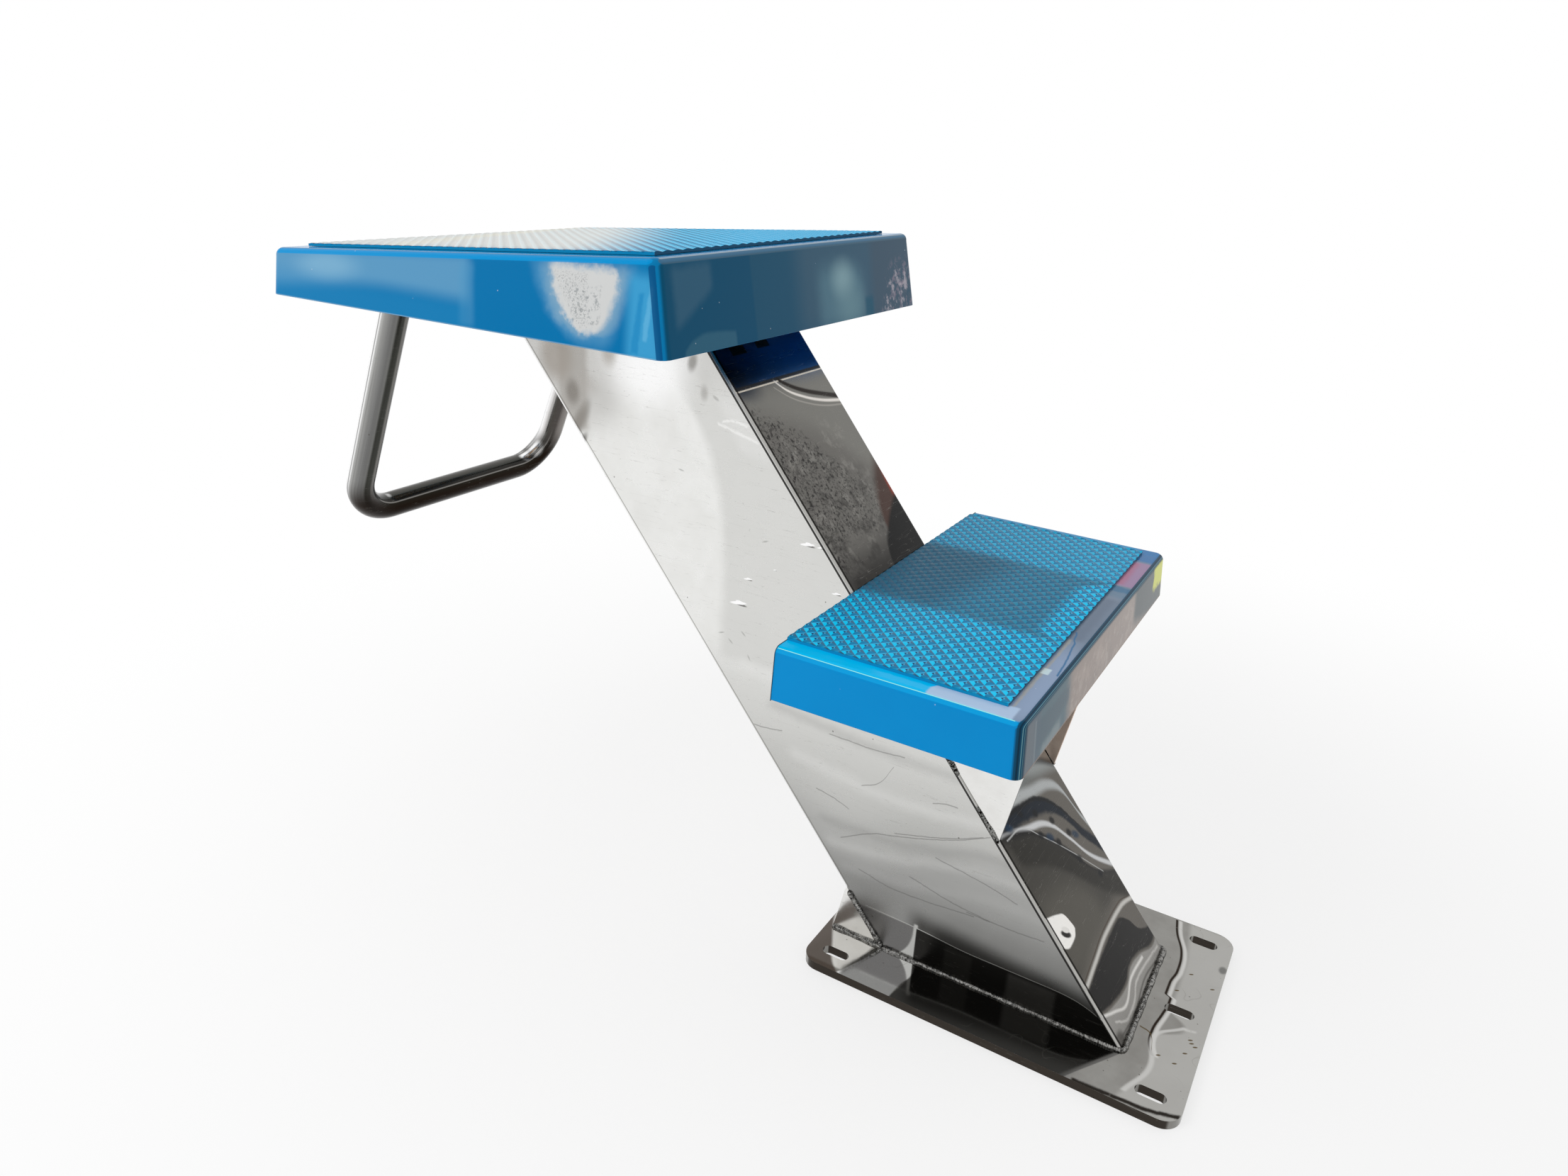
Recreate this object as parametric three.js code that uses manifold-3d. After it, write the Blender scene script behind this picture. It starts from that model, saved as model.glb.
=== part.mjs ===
// Swimming starting block: a leaning stainless column on an anchor plate, with a
// fibreglass step behind it, a fibreglass platform on top and a backstroke handle
// under the platform's front edge.
//
// Millimetres. +Z is up, +X points over the pool, +Y is the swimmer's left.
// The origin is the centre of the anchor plate's underside.

import * as THREE from 'three';
import { mergeVertices } from 'three/addons/utils/BufferGeometryUtils.js';
import Module from 'manifold-3d';

const wasm = await Module();
wasm.setup();

// Driving dimensions

// Anchor plate
const plateLength = 400;
const plateWidth = 300;
const plateThickness = 10;
const plateCornerRadius = 20;
const slotLength = 30;
const slotWidth = 13;
const slotInsetX = 31;
const slotInsetY = 25.5;

// Column
const columnWidth = 176;
const columnFootLength = 264;
const columnFootSetback = 67;
const columnLean = THREE.MathUtils.degToRad(50.5);
const columnSheet = 3;
const columnFoldRadius = 5;

// Front gussets at the column's foot
const frontGussetFoot = 62;
const frontGussetHeight = 56;
const frontGussetTip = 4;

// Step
const stepTopHeight = 414;
const stepWidth = 482;
const stepLength = 231;
const stepDepth = 50;
const stepDraft = 3.5;
const stepWall = 4.5;
const stepCornerRadius = 10;
const stepEdgeRadius = 7;
const stepBoardThickness = 12;
const stepBoardMargin = 15;
const trayWidth = 320;
const trayLip = 18;
const traySheet = 3;
const trayBendRadius = 5;
const stepGussetDrop = 168;
const stepGussetSetback = 22;
const stepBoltInsetX = 30;
const stepBoltSpacingX = 110;
const stepBoltHalfSpacingY = 120;

// Platform
const platformRearX = 312;
const platformRimHeight = 648;
const platformLength = 510;
const platformWidth = 500;
const platformRearDepth = 82;
const platformFrontDepth = 46;
const platformRearDraft = 13;
const platformFrontDraft = 0.5;
const platformSideDraft = 6;
const platformWall = 5;
const platformCornerRadius = 11;
const platformEdgeRadius = 8;
const platformBoardThickness = 18;
const platformBoardMargin = 30;

// Flange that closes the column's head and carries the platform
const headFlangeThickness = 6;
const headFlangeMarginX = 28;
const headFlangeMarginY = 36;
const headFlangeCornerRadius = 12;
const headBoltInsetX = 25;
const headBoltInsetY = 16;

// Anti-slip mats
const matThickness = 3.2;
const matMarginSide = 24;
const matMarginRear = 25;
const platformMatMarginSide = 34;
const platformMatMarginRear = 36;
const platformMatMarginFront = 24;

// Backstroke handle
const handleTubeDiameter = 32;
const handleTubeWall = 2;
const handleHalfSpacing = 164.5;
const handleBarHeight = 376.5;
const handleFlangeSetback = 99.4;
const handleSlant = THREE.MathUtils.degToRad(22.4);
const handleBendRadius = 55;
const handleFlangeLength = 112;
const handleFlangeWidth = 62;
const handleFlangeThickness = 6;
const handleFlangeCornerRadius = 10;
const handleBoltHalfSpacing = 42;

// Hexagon flange bolts and the threaded sleeves that take them
const boltDiameter = 8;
const boltAcrossFlats = 13;
const boltHexHeight = 6;
const boltCollarDiameter = 18;
const boltCollarThickness = 2;
const boltHoleClearance = 0.5;
const boltEndClearance = 1;
const sleeveDiameter = 12;

// Gap kept between pieces that rest on each other at a slant, or that one cuts the other to fit
const seatGap = 0.3;

// How far a cutting body runs past the face that it cuts
const overrun = 20;

// Points closer together than this are one point
const weldTolerance = 1e-4;

// Facets
const cornerSegments = 8;
const edgeSegments = 6;
const circleSegments = 16;
const arcSegments = circleSegments / 4;
const tubeSides = 24;
const bendSteps = 8;

// Materials

const polishedSteel = new THREE.MeshStandardMaterial({ color: 0xc9cbcc, roughness: 0.16, metalness: 1 });
const satinSteel = new THREE.MeshStandardMaterial({ color: 0xd3d4d4, roughness: 0.32, metalness: 1 });
const tubeSteel = new THREE.MeshStandardMaterial({ color: 0xb4b2ae, roughness: 0.24, metalness: 1 });
const boltSteel = new THREE.MeshStandardMaterial({ color: 0xbfc0c1, roughness: 0.3, metalness: 1 });
const blueGelcoat = new THREE.MeshStandardMaterial({ color: 0x0784c4, roughness: 0.12, metalness: 0 });
const blueMat = new THREE.MeshStandardMaterial({ color: 0x00a9e0, roughness: 0.35, metalness: 0 });
const plywood = new THREE.MeshStandardMaterial({ color: 0xa98a5f, roughness: 0.8, metalness: 0 });

// Values worked out from the dimensions above

const plateRearX = -plateLength / 2;
const columnRearFootX = plateRearX + columnFootSetback;
const columnFrontFootX = columnRearFootX + columnFootLength;
const columnHalfWidth = columnWidth / 2;
const columnInnerHalfWidth = columnHalfWidth - columnSheet;
const columnDepth = columnFootLength * Math.sin(columnLean);

const stepRimHeight = stepTopHeight - stepDepth;
const stepFrontX = columnRearX(stepTopHeight) - 2 * seatGap;
const stepRearX = stepFrontX - stepLength;
const stepBoardTop = stepTopHeight - stepWall;
const trayTop = stepBoardTop - stepBoardThickness;
const trayUnderside = trayTop - traySheet;

const deckSlope = Math.atan2(platformRearDepth - platformFrontDepth, platformLength);
const deckRearHeight = platformRimHeight + platformRearDepth;
const boardDepth = platformWall + seatGap;
const headFlangeDepth = boardDepth + platformBoardThickness + seatGap;
const columnHeadDepth = headFlangeDepth + headFlangeThickness + seatGap;
const handleHeadDepth = headFlangeDepth + handleFlangeThickness + seatGap;

const boltHoleRadius = boltDiameter / 2 + boltHoleClearance;
const sleeveRadius = sleeveDiameter / 2;
const sleeveHoleRadius = sleeveRadius + seatGap;

// Height of the plane that lies the given depth below the platform's sloping deck
function deckHeight(x, depth) {
  return deckRearHeight - (x - platformRearX) * Math.tan(deckSlope) - depth / Math.cos(deckSlope);
}

// X of the column's rear edge at a height; the front edge is one foot length ahead of it
function columnRearX(z) {
  return columnRearFootX + (z - plateThickness) / Math.tan(columnLean);
}

// X where a line that leans as the column does, from footX, meets the plane below the deck
function leaningLineHeadX(footX, depth) {
  const rise = Math.tan(columnLean);
  const fall = Math.tan(deckSlope);
  const deckAtOrigin = deckHeight(0, depth);
  return (deckAtOrigin - plateThickness + footX * rise) / (rise + fall);
}

// Solids: exchange between three.js geometry and the boolean library

function toSolid(geometry) {
  const bare = new THREE.BufferGeometry();
  bare.setAttribute('position', geometry.getAttribute('position').clone());
  if (geometry.index) {
    bare.setIndex(geometry.index.clone());
  }
  const merged = mergeVertices(bare, weldTolerance);
  return new wasm.Manifold(new wasm.Mesh({
    numProp: 3,
    vertProperties: new Float32Array(merged.getAttribute('position').array),
    triVerts: new Uint32Array(merged.index.array),
  }));
}

function toGeometry(solid) {
  const { vertProperties, triVerts } = solid.getMesh();
  const geometry = new THREE.BufferGeometry();
  geometry.setAttribute('position', new THREE.BufferAttribute(vertProperties, 3));
  geometry.setIndex(new THREE.BufferAttribute(triVerts, 1));
  geometry.computeVertexNormals();
  return geometry;
}

function indexedGeometry(positions, triangles) {
  const geometry = new THREE.BufferGeometry();
  geometry.setAttribute('position', new THREE.Float32BufferAttribute(positions, 3));
  geometry.setIndex(triangles);
  geometry.computeVertexNormals();
  return geometry;
}

// Takes the cutters out of a body
function cut(geometry, ...cutters) {
  const solid = cutters.reduce((left, cutter) => left.subtract(toSolid(cutter)), toSolid(geometry));
  return toGeometry(solid);
}

// Outlines

function rectangle(lowX, highX, lowY, highY) {
  return new THREE.Shape([
    new THREE.Vector2(lowX, lowY),
    new THREE.Vector2(highX, lowY),
    new THREE.Vector2(highX, highY),
    new THREE.Vector2(lowX, highY),
  ]);
}

// Points round a rectangle with round corners, anticlockwise from its right-hand near corner
function roundedRectanglePoints(centreX, centreY, length, width, radius) {
  const corners = [[1, -1], [1, 1], [-1, 1], [-1, -1]];
  return corners.flatMap(([signX, signY], quarter) => {
    const points = [];
    for (let i = 0; i <= cornerSegments; i += 1) {
      const angle = (quarter - 1 + i / cornerSegments) * (Math.PI / 2);
      points.push(new THREE.Vector2(
        centreX + signX * (length / 2 - radius) + radius * Math.cos(angle),
        centreY + signY * (width / 2 - radius) + radius * Math.sin(angle),
      ));
    }
    return points;
  });
}

function roundedRectangle(...dimensions) {
  return new THREE.Shape(roundedRectanglePoints(...dimensions));
}

function roundHole(x, y, radius) {
  const hole = new THREE.Path();
  hole.absarc(x, y, radius, 0, 2 * Math.PI, true);
  return hole;
}

// A slot with round ends, long along X
function slotHole(x, y) {
  const reach = (slotLength - slotWidth) / 2;
  const radius = slotWidth / 2;
  const hole = new THREE.Path();
  hole.absarc(x + reach, y, radius, -Math.PI / 2, Math.PI / 2);
  hole.absarc(x - reach, y, radius, Math.PI / 2, 1.5 * Math.PI);
  hole.closePath();
  return hole;
}

// A flat plate: its outline lies in XY and it is as thick as given, from z = low upwards
function flatPlate(shape, thickness, low) {
  const geometry = new THREE.ExtrudeGeometry(shape, {
    depth: thickness, bevelEnabled: false, curveSegments: circleSegments / 2,
  });
  geometry.translate(0, 0, low);
  return geometry;
}

// An upright plate: its outline of [x, z] points is as thick as given, from y = low to the left
function uprightPlate(points, thickness, low) {
  const shape = new THREE.Shape(points.map(([x, z]) => new THREE.Vector2(x, z)));
  const geometry = new THREE.ExtrudeGeometry(shape, { depth: thickness, bevelEnabled: false });
  geometry.rotateX(Math.PI / 2);
  geometry.translate(0, low + thickness, 0);
  return geometry;
}

// A box between two corners
function block(low, high) {
  const geometry = new THREE.BoxGeometry(high[0] - low[0], high[1] - low[1], high[2] - low[2]);
  geometry.translate((low[0] + high[0]) / 2, (low[1] + high[1]) / 2, (low[2] + high[2]) / 2);
  return geometry;
}

// Lofts

// Joins rings of equal count, each anticlockwise seen from above, into one closed skin
function loftSolid(rings) {
  const count = rings[0].length;
  const positions = rings.flat().flatMap((point) => point.toArray());
  const triangles = [];
  const addCentre = (ring) => {
    const centre = new THREE.Vector3();
    ring.forEach((point) => centre.add(point));
    centre.divideScalar(count);
    positions.push(...centre.toArray());
    return positions.length / 3 - 1;
  };
  rings.slice(1).forEach((_, level) => {
    const lower = level * count;
    const upper = lower + count;
    for (let i = 0; i < count; i += 1) {
      const next = (i + 1) % count;
      triangles.push(lower + i, lower + next, upper + next);
      triangles.push(lower + i, upper + next, upper + i);
    }
  });
  const startCentre = addCentre(rings[0]);
  const endCentre = addCentre(rings[rings.length - 1]);
  const last = (rings.length - 1) * count;
  for (let i = 0; i < count; i += 1) {
    const next = (i + 1) % count;
    triangles.push(startCentre, next, i);
    triangles.push(endCentre, last + i, last + next);
  }
  return indexedGeometry(positions, triangles);
}

// One ring of a moulded shell, drawn in by an inset and a share of each side's draft; heightAt
// gives z from x
function shellRing(outline, inset, draftShare, cornerRadius, heightAt) {
  const rear = draftShare * outline.rearDraft;
  const front = draftShare * outline.frontDraft;
  const centreX = outline.centreX + (rear - front) / 2;
  const length = outline.length - 2 * inset - rear - front;
  const width = outline.width - 2 * (inset + draftShare * outline.sideDraft);
  return roundedRectanglePoints(centreX, 0, length, width, cornerRadius)
    .map(({ x, y }) => new THREE.Vector3(x, y, heightAt(x)));
}

// Rings of one skin of a moulded shell, from its rim up to its deck
function skinRings(outline, offset, topAt) {
  const edge = Math.max(outline.edgeRadius - offset, outline.wall / 4);
  const corner = Math.max(outline.cornerRadius - offset, edge + outline.wall / 4);
  const rings = [shellRing(outline, offset, 0, corner, () => outline.rimHeight)];
  for (let i = 0; i <= edgeSegments; i += 1) {
    const turn = (i / edgeSegments) * (Math.PI / 2);
    const drawnIn = edge * (1 - Math.cos(turn));
    const drop = edge * (1 - Math.sin(turn));
    rings.push(shellRing(outline, offset + drawnIn, 1, corner - drawnIn, (x) => topAt(x) - drop));
  }
  return rings;
}

// A moulded shell: a deck with a drafted skirt all round, open underneath
function mouldedShell(outline, topAt, undersideAt) {
  const inner = skinRings(outline, outline.wall, undersideAt).reverse();
  const outer = skinRings(outline, 0, topAt);
  return loftSolid([...inner, ...outer]);
}

// Fasteners

// A hexagon flange bolt that points up, with its collar's upper face at z = 0
function flangeBolt(shankLength) {
  const collar = new THREE.CylinderGeometry(
    boltCollarDiameter / 2, boltCollarDiameter / 2, boltCollarThickness, circleSegments,
  );
  collar.rotateX(Math.PI / 2);
  collar.translate(0, 0, -boltCollarThickness / 2);
  const hexRadius = boltAcrossFlats / Math.sqrt(3);
  const hexBase = boltCollarThickness / 2;
  const hex = new THREE.CylinderGeometry(hexRadius, hexRadius, boltHexHeight + hexBase, 6);
  hex.rotateX(Math.PI / 2);
  hex.translate(0, 0, -hexBase - (boltHexHeight + hexBase) / 2);
  const shankBase = boltCollarThickness / 2;
  const shank = new THREE.CylinderGeometry(
    boltDiameter / 2, boltDiameter / 2, shankLength + shankBase, circleSegments,
  );
  shank.rotateX(Math.PI / 2);
  shank.translate(0, 0, (shankLength - shankBase) / 2);
  return toGeometry(toSolid(collar).add(toSolid(hex)).add(toSolid(shank)));
}

// A threaded sleeve, bonded into a board, from z = 0 upwards
function threadedSleeve(length) {
  const shape = new THREE.Shape();
  shape.absarc(0, 0, sleeveRadius, 0, 2 * Math.PI);
  shape.holes.push(roundHole(0, 0, boltDiameter / 2 + seatGap));
  return flatPlate(shape, length, 0);
}

// Building the group

const startingBlock = new THREE.Group();

function add(parent, name, geometry, material, position = [0, 0, 0]) {
  const mesh = new THREE.Mesh(geometry, material);
  mesh.name = name;
  mesh.position.set(...position);
  parent.add(mesh);
}

// Adds a bolt and its sleeve at each place; z is the height of the bolt's seat
function addBoltedSleeves(parent, prefix, places, seatHeight, grip, boardThickness) {
  const shankLength = grip + boardThickness - boltEndClearance;
  places.forEach(([x, y], index) => {
    const number = index + 1;
    add(parent, `${prefix}_bolt_${number}`, flangeBolt(shankLength), boltSteel, [x, y, seatHeight]);
    const sleeve = threadedSleeve(boardThickness);
    add(parent, `${prefix}_threaded_sleeve_${number}`, sleeve, boltSteel, [x, y, seatHeight + grip]);
  });
}

// Anchor plate, with three slots near each end

// Adds the two plates of a pair, each flush with one of the column's outer sides
function addSidePlates(name, outline) {
  const left = uprightPlate(outline, columnSheet, columnInnerHalfWidth);
  const right = uprightPlate(outline, columnSheet, -columnHalfWidth);
  add(startingBlock, `${name}_left`, left, satinSteel);
  add(startingBlock, `${name}_right`, right, satinSteel);
}

function buildAnchorPlate() {
  const outline = roundedRectangle(0, 0, plateLength, plateWidth, plateCornerRadius);
  const slotX = plateLength / 2 - slotInsetX;
  const slotY = plateWidth / 2 - slotInsetY;
  [-slotX, slotX].forEach((x) => {
    [-slotY, 0, slotY].forEach((y) => outline.holes.push(slotHole(x, y)));
  });
  add(startingBlock, 'base_plate', flatPlate(outline, plateThickness, 0), polishedSteel);
}

// Column: a sheet folded to a channel that is open at the front, closed by a plate welded in

// A prism that leans as the column does, from the anchor plate to the head. Its outline is
// square to the lean: x runs forward from the column's rear face, y to the left
function leaningPrism(shape) {
  const geometry = new THREE.ExtrudeGeometry(shape, {
    depth: 1, bevelEnabled: false, curveSegments: arcSegments,
  });
  const points = geometry.getAttribute('position');
  for (let i = 0; i < points.count; i += 1) {
    const footX = columnRearFootX + points.getX(i) / Math.sin(columnLean);
    if (points.getZ(i) > 0) {
      const headX = leaningLineHeadX(footX, columnHeadDepth);
      points.setXYZ(i, headX, points.getY(i), deckHeight(headX, columnHeadDepth));
    } else {
      points.setXYZ(i, footX, points.getY(i), plateThickness);
    }
  }
  return geometry;
}

function channelSection() {
  const half = columnHalfWidth;
  const inner = columnInnerHalfWidth;
  const fold = columnFoldRadius;
  const innerFold = fold - columnSheet;
  const shape = new THREE.Shape();
  shape.moveTo(columnDepth, -half);
  shape.lineTo(columnDepth, -inner);
  shape.lineTo(fold, -inner);
  shape.absarc(fold, -half + fold, innerFold, -Math.PI / 2, -Math.PI, true);
  shape.lineTo(columnSheet, half - fold);
  shape.absarc(fold, half - fold, innerFold, Math.PI, Math.PI / 2, true);
  shape.lineTo(columnDepth, inner);
  shape.lineTo(columnDepth, half);
  shape.lineTo(fold, half);
  shape.absarc(fold, half - fold, fold, Math.PI / 2, Math.PI);
  shape.lineTo(0, -half + fold);
  shape.absarc(fold, -half + fold, fold, Math.PI, 1.5 * Math.PI);
  return shape;
}

function buildColumn() {
  add(startingBlock, 'column_channel', leaningPrism(channelSection()), satinSteel);
  const front = rectangle(
    columnDepth - columnSheet, columnDepth, -columnInnerHalfWidth, columnInnerHalfWidth,
  );
  add(startingBlock, 'column_front_plate', leaningPrism(front), satinSteel);
}

// Front gussets: blunt triangles between the column's front edges and the anchor plate

function buildFrontGussets() {
  const footX = columnFrontFootX + seatGap;
  const tipX = footX + frontGussetHeight / Math.tan(columnLean);
  const tipHeight = plateThickness + frontGussetHeight;
  const outline = [
    [footX, plateThickness],
    [columnFrontFootX + frontGussetFoot, plateThickness],
    [tipX + frontGussetTip, tipHeight],
    [tipX, tipHeight],
  ];
  addSidePlates('front_gusset', outline);
}

// Step: gussets on the column's rear edges, a folded tray, a board and a moulded shell with its mat


// The column's outside, swollen by the seat gap, for cutting what fits round it
function columnEnvelope() {
  const half = columnHalfWidth + seatGap;
  return leaningPrism(rectangle(-seatGap, columnDepth + seatGap, -half, half));
}

function buildStepGussets() {
  const apexHeight = stepRimHeight - stepGussetDrop;
  const apexX = columnRearX(apexHeight) - seatGap;
  const rearAtRimX = stepRearX + stepGussetSetback;
  const rearSlope = (rearAtRimX - apexX) / stepGussetDrop;
  const outline = [
    [apexX, apexHeight],
    [columnRearX(trayUnderside) - seatGap, trayUnderside],
    [apexX + rearSlope * (trayUnderside - apexHeight), trayUnderside],
  ];
  addSidePlates('step_gusset', outline);
}

const stepBoltPlaces = [0, 1].flatMap((row) => [-1, 1].map((side) => [
  stepRearX + stepBoardMargin + stepBoltInsetX + row * stepBoltSpacingX,
  side * stepBoltHalfSpacingY,
]));

// Section of the folded tray: x runs across the step and y upwards
function traySection() {
  const half = trayWidth / 2;
  const inner = half - traySheet;
  const innerBend = trayBendRadius - traySheet;
  const foot = trayTop - trayLip;
  const shape = new THREE.Shape();
  shape.moveTo(-half, foot);
  shape.lineTo(-inner, foot);
  shape.lineTo(-inner, trayUnderside - innerBend);
  shape.absarc(-inner + innerBend, trayUnderside - innerBend, innerBend, Math.PI, Math.PI / 2, true);
  shape.lineTo(inner - innerBend, trayUnderside);
  shape.absarc(inner - innerBend, trayUnderside - innerBend, innerBend, Math.PI / 2, 0, true);
  shape.lineTo(inner, foot);
  shape.lineTo(half, foot);
  shape.lineTo(half, trayTop - trayBendRadius);
  shape.absarc(half - trayBendRadius, trayTop - trayBendRadius, trayBendRadius, 0, Math.PI / 2);
  shape.lineTo(-half + trayBendRadius, trayTop);
  shape.absarc(-half + trayBendRadius, trayTop - trayBendRadius, trayBendRadius, Math.PI / 2, Math.PI);
  return shape;
}

function buildStepTray() {
  const rearX = stepRearX + stepBoardMargin;
  const length = stepFrontX - rearX;
  const tray = new THREE.ExtrudeGeometry(traySection(), {
    depth: length, bevelEnabled: false, curveSegments: arcSegments,
  });
  tray.rotateX(Math.PI / 2);
  tray.rotateZ(Math.PI / 2);
  tray.translate(rearX, 0, 0);
  const holes = stepBoltPlaces.map(([x, y]) => {
    const drill = new THREE.CylinderGeometry(
      boltHoleRadius, boltHoleRadius, traySheet + overrun, circleSegments,
    );
    drill.rotateX(Math.PI / 2);
    drill.translate(x, y, trayTop - traySheet / 2);
    return drill;
  });
  add(startingBlock, 'step_support_tray', cut(tray, columnEnvelope(), ...holes), satinSteel);
}

function buildStepBoard() {
  const rearX = stepRearX + stepBoardMargin;
  const frontX = columnRearX(trayTop) - seatGap;
  const width = stepWidth - 2 * stepBoardMargin;
  const outline = roundedRectangle((rearX + frontX) / 2, 0, frontX - rearX, width, stepCornerRadius);
  stepBoltPlaces.forEach(([x, y]) => outline.holes.push(roundHole(x, y, sleeveHoleRadius)));
  add(startingBlock, 'step_core_board', flatPlate(outline, stepBoardThickness, trayTop), plywood);
  addBoltedSleeves(startingBlock, 'step', stepBoltPlaces, trayUnderside, traySheet, stepBoardThickness);
}

// The step's shell is moulded with a skirt all round, then sawn off square at the front,
// where it is fitted round the column
function buildStepShell() {
  const sawnOff = stepEdgeRadius + stepDraft + stepWall;
  const outline = {
    centreX: (stepRearX + stepFrontX + sawnOff) / 2,
    length: stepLength + sawnOff,
    width: stepWidth,
    rimHeight: stepRimHeight,
    rearDraft: stepDraft,
    frontDraft: stepDraft,
    sideDraft: stepDraft,
    wall: stepWall,
    cornerRadius: stepCornerRadius,
    edgeRadius: stepEdgeRadius,
  };
  const shell = mouldedShell(outline, () => stepTopHeight, () => stepTopHeight - stepWall);
  const saw = block(
    [stepFrontX, -stepWidth, stepRimHeight - overrun],
    [stepFrontX + sawnOff + overrun, stepWidth, stepTopHeight + overrun],
  );
  add(startingBlock, 'step_shell', cut(shell, saw, columnEnvelope()), blueGelcoat);
}

function buildStepMat() {
  const rearX = stepRearX + matMarginRear;
  const width = stepWidth - 2 * matMarginSide;
  const outline = rectangle(rearX, stepFrontX, -width / 2, width / 2);
  add(startingBlock, 'step_mat', flatPlate(outline, matThickness, stepTopHeight), blueMat);
}

// Platform: its parts lie in a frame that slopes with the deck. In that frame x runs along the
// deck from the rear rim and z = 0 is the deck's upper face

const deckFrame = new THREE.Group();
deckFrame.position.set(platformRearX, 0, deckRearHeight);
deckFrame.rotation.y = deckSlope;
const deckLength = platformLength / Math.cos(deckSlope);

// Distance along the deck of a point that lies the given depth below it, from its world x
function alongDeck(x, depth) {
  return (x - platformRearX + depth * Math.sin(deckSlope)) / Math.cos(deckSlope);
}

// The other way round: world x of a point from its distance along the deck
function worldX(along, depth) {
  return platformRearX + along * Math.cos(deckSlope) - depth * Math.sin(deckSlope);
}

const headRear = alongDeck(leaningLineHeadX(columnRearFootX, columnHeadDepth), columnHeadDepth);
const headFront = alongDeck(leaningLineHeadX(columnFrontFootX, columnHeadDepth), columnHeadDepth);
const headFlangeLength = headFront - headRear + 2 * headFlangeMarginX;
const headFlangeWidth = columnWidth + 2 * headFlangeMarginY;
const headFlangeCentre = (headRear + headFront) / 2;
const headBoltPlaces = [-1, 0, 1].flatMap((row) => [-1, 1].map((side) => [
  headFlangeCentre + row * (headFlangeLength / 2 - headBoltInsetX),
  side * (headFlangeWidth / 2 - headBoltInsetY),
]));

// The flanges keep their place behind the platform's front edge, and the legs slant down from them
const handleFlangeCentre = deckLength - handleFlangeSetback;
const handleHeadX = worldX(handleFlangeCentre, handleHeadDepth);
const handleBarX = handleHeadX
  + (deckHeight(handleHeadX, handleHeadDepth) - handleBarHeight) * Math.tan(handleSlant);
const handleBoltPlaces = [-1, 1].flatMap((side) => [-1, 1].map((end) => [
  handleFlangeCentre + end * handleBoltHalfSpacing,
  side * handleHalfSpacing,
]));

function buildPlatformShell() {
  const outline = {
    centreX: platformRearX + platformLength / 2,
    length: platformLength,
    width: platformWidth,
    rimHeight: platformRimHeight,
    rearDraft: platformRearDraft,
    frontDraft: platformFrontDraft,
    sideDraft: platformSideDraft,
    wall: platformWall,
    cornerRadius: platformCornerRadius,
    edgeRadius: platformEdgeRadius,
  };
  const shell = mouldedShell(outline, (x) => deckHeight(x, 0), (x) => deckHeight(x, platformWall));
  add(startingBlock, 'platform_shell', shell, blueGelcoat);
}

function buildPlatformBoard() {
  const length = deckLength - 2 * platformBoardMargin;
  const width = platformWidth - 2 * platformBoardMargin;
  const outline = roundedRectangle(deckLength / 2, 0, length, width, platformCornerRadius);
  [...headBoltPlaces, ...handleBoltPlaces].forEach(([x, y]) => {
    outline.holes.push(roundHole(x, y, sleeveHoleRadius));
  });
  const low = -boardDepth - platformBoardThickness;
  add(deckFrame, 'platform_core_board', flatPlate(outline, platformBoardThickness, low), plywood);
}

function buildHeadFlange() {
  const outline = roundedRectangle(
    headFlangeCentre, 0, headFlangeLength, headFlangeWidth, headFlangeCornerRadius,
  );
  headBoltPlaces.forEach(([x, y]) => outline.holes.push(roundHole(x, y, boltHoleRadius)));
  const low = -headFlangeDepth - headFlangeThickness;
  add(deckFrame, 'column_head_flange', flatPlate(outline, headFlangeThickness, low), satinSteel);
  const grip = headFlangeThickness + 2 * seatGap;
  addBoltedSleeves(deckFrame, 'platform', headBoltPlaces, low - seatGap, grip, platformBoardThickness);
}

function buildPlatformMat() {
  const width = platformWidth - 2 * platformMatMarginSide;
  const frontX = deckLength - platformMatMarginFront;
  const outline = rectangle(platformMatMarginRear, frontX, -width / 2, width / 2);
  add(deckFrame, 'platform_mat', flatPlate(outline, matThickness, seatGap), blueMat);
}

// Backstroke handle: one bent tube, hanging from a flange at each end

function buildHandleFlanges() {
  const low = -headFlangeDepth - handleFlangeThickness;
  [[-1, 'right'], [1, 'left']].forEach(([side, name]) => {
    const y = side * handleHalfSpacing;
    const outline = roundedRectangle(
      handleFlangeCentre, y, handleFlangeLength, handleFlangeWidth, handleFlangeCornerRadius,
    );
    [-1, 1].forEach((end) => {
      const x = handleFlangeCentre + end * handleBoltHalfSpacing;
      outline.holes.push(roundHole(x, y, boltHoleRadius));
    });
    add(deckFrame, `handle_flange_${name}`, flatPlate(outline, handleFlangeThickness, low), satinSteel);
  });
  const grip = handleFlangeThickness + 2 * seatGap;
  addBoltedSleeves(deckFrame, 'handle', handleBoltPlaces, low - seatGap, grip, platformBoardThickness);
}

// Stations round the two bends of the tube's centre line, from the left one to the right one:
// rise is the way up along the legs from the bottom bar, turn the angle turned from the leg
function handleStations() {
  const left = handleHalfSpacing;
  const bend = handleBendRadius;
  const stations = [];
  for (let i = 0; i <= bendSteps; i += 1) {
    const turn = (i / bendSteps) * (Math.PI / 2);
    stations.push({
      y: left - bend + bend * Math.cos(turn),
      rise: bend - bend * Math.sin(turn),
      turn,
    });
  }
  const mirrored = stations.map(({ y, rise, turn }) => ({ y: -y, rise, turn: Math.PI - turn }));
  return [...stations, ...mirrored.reverse()];
}

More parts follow.
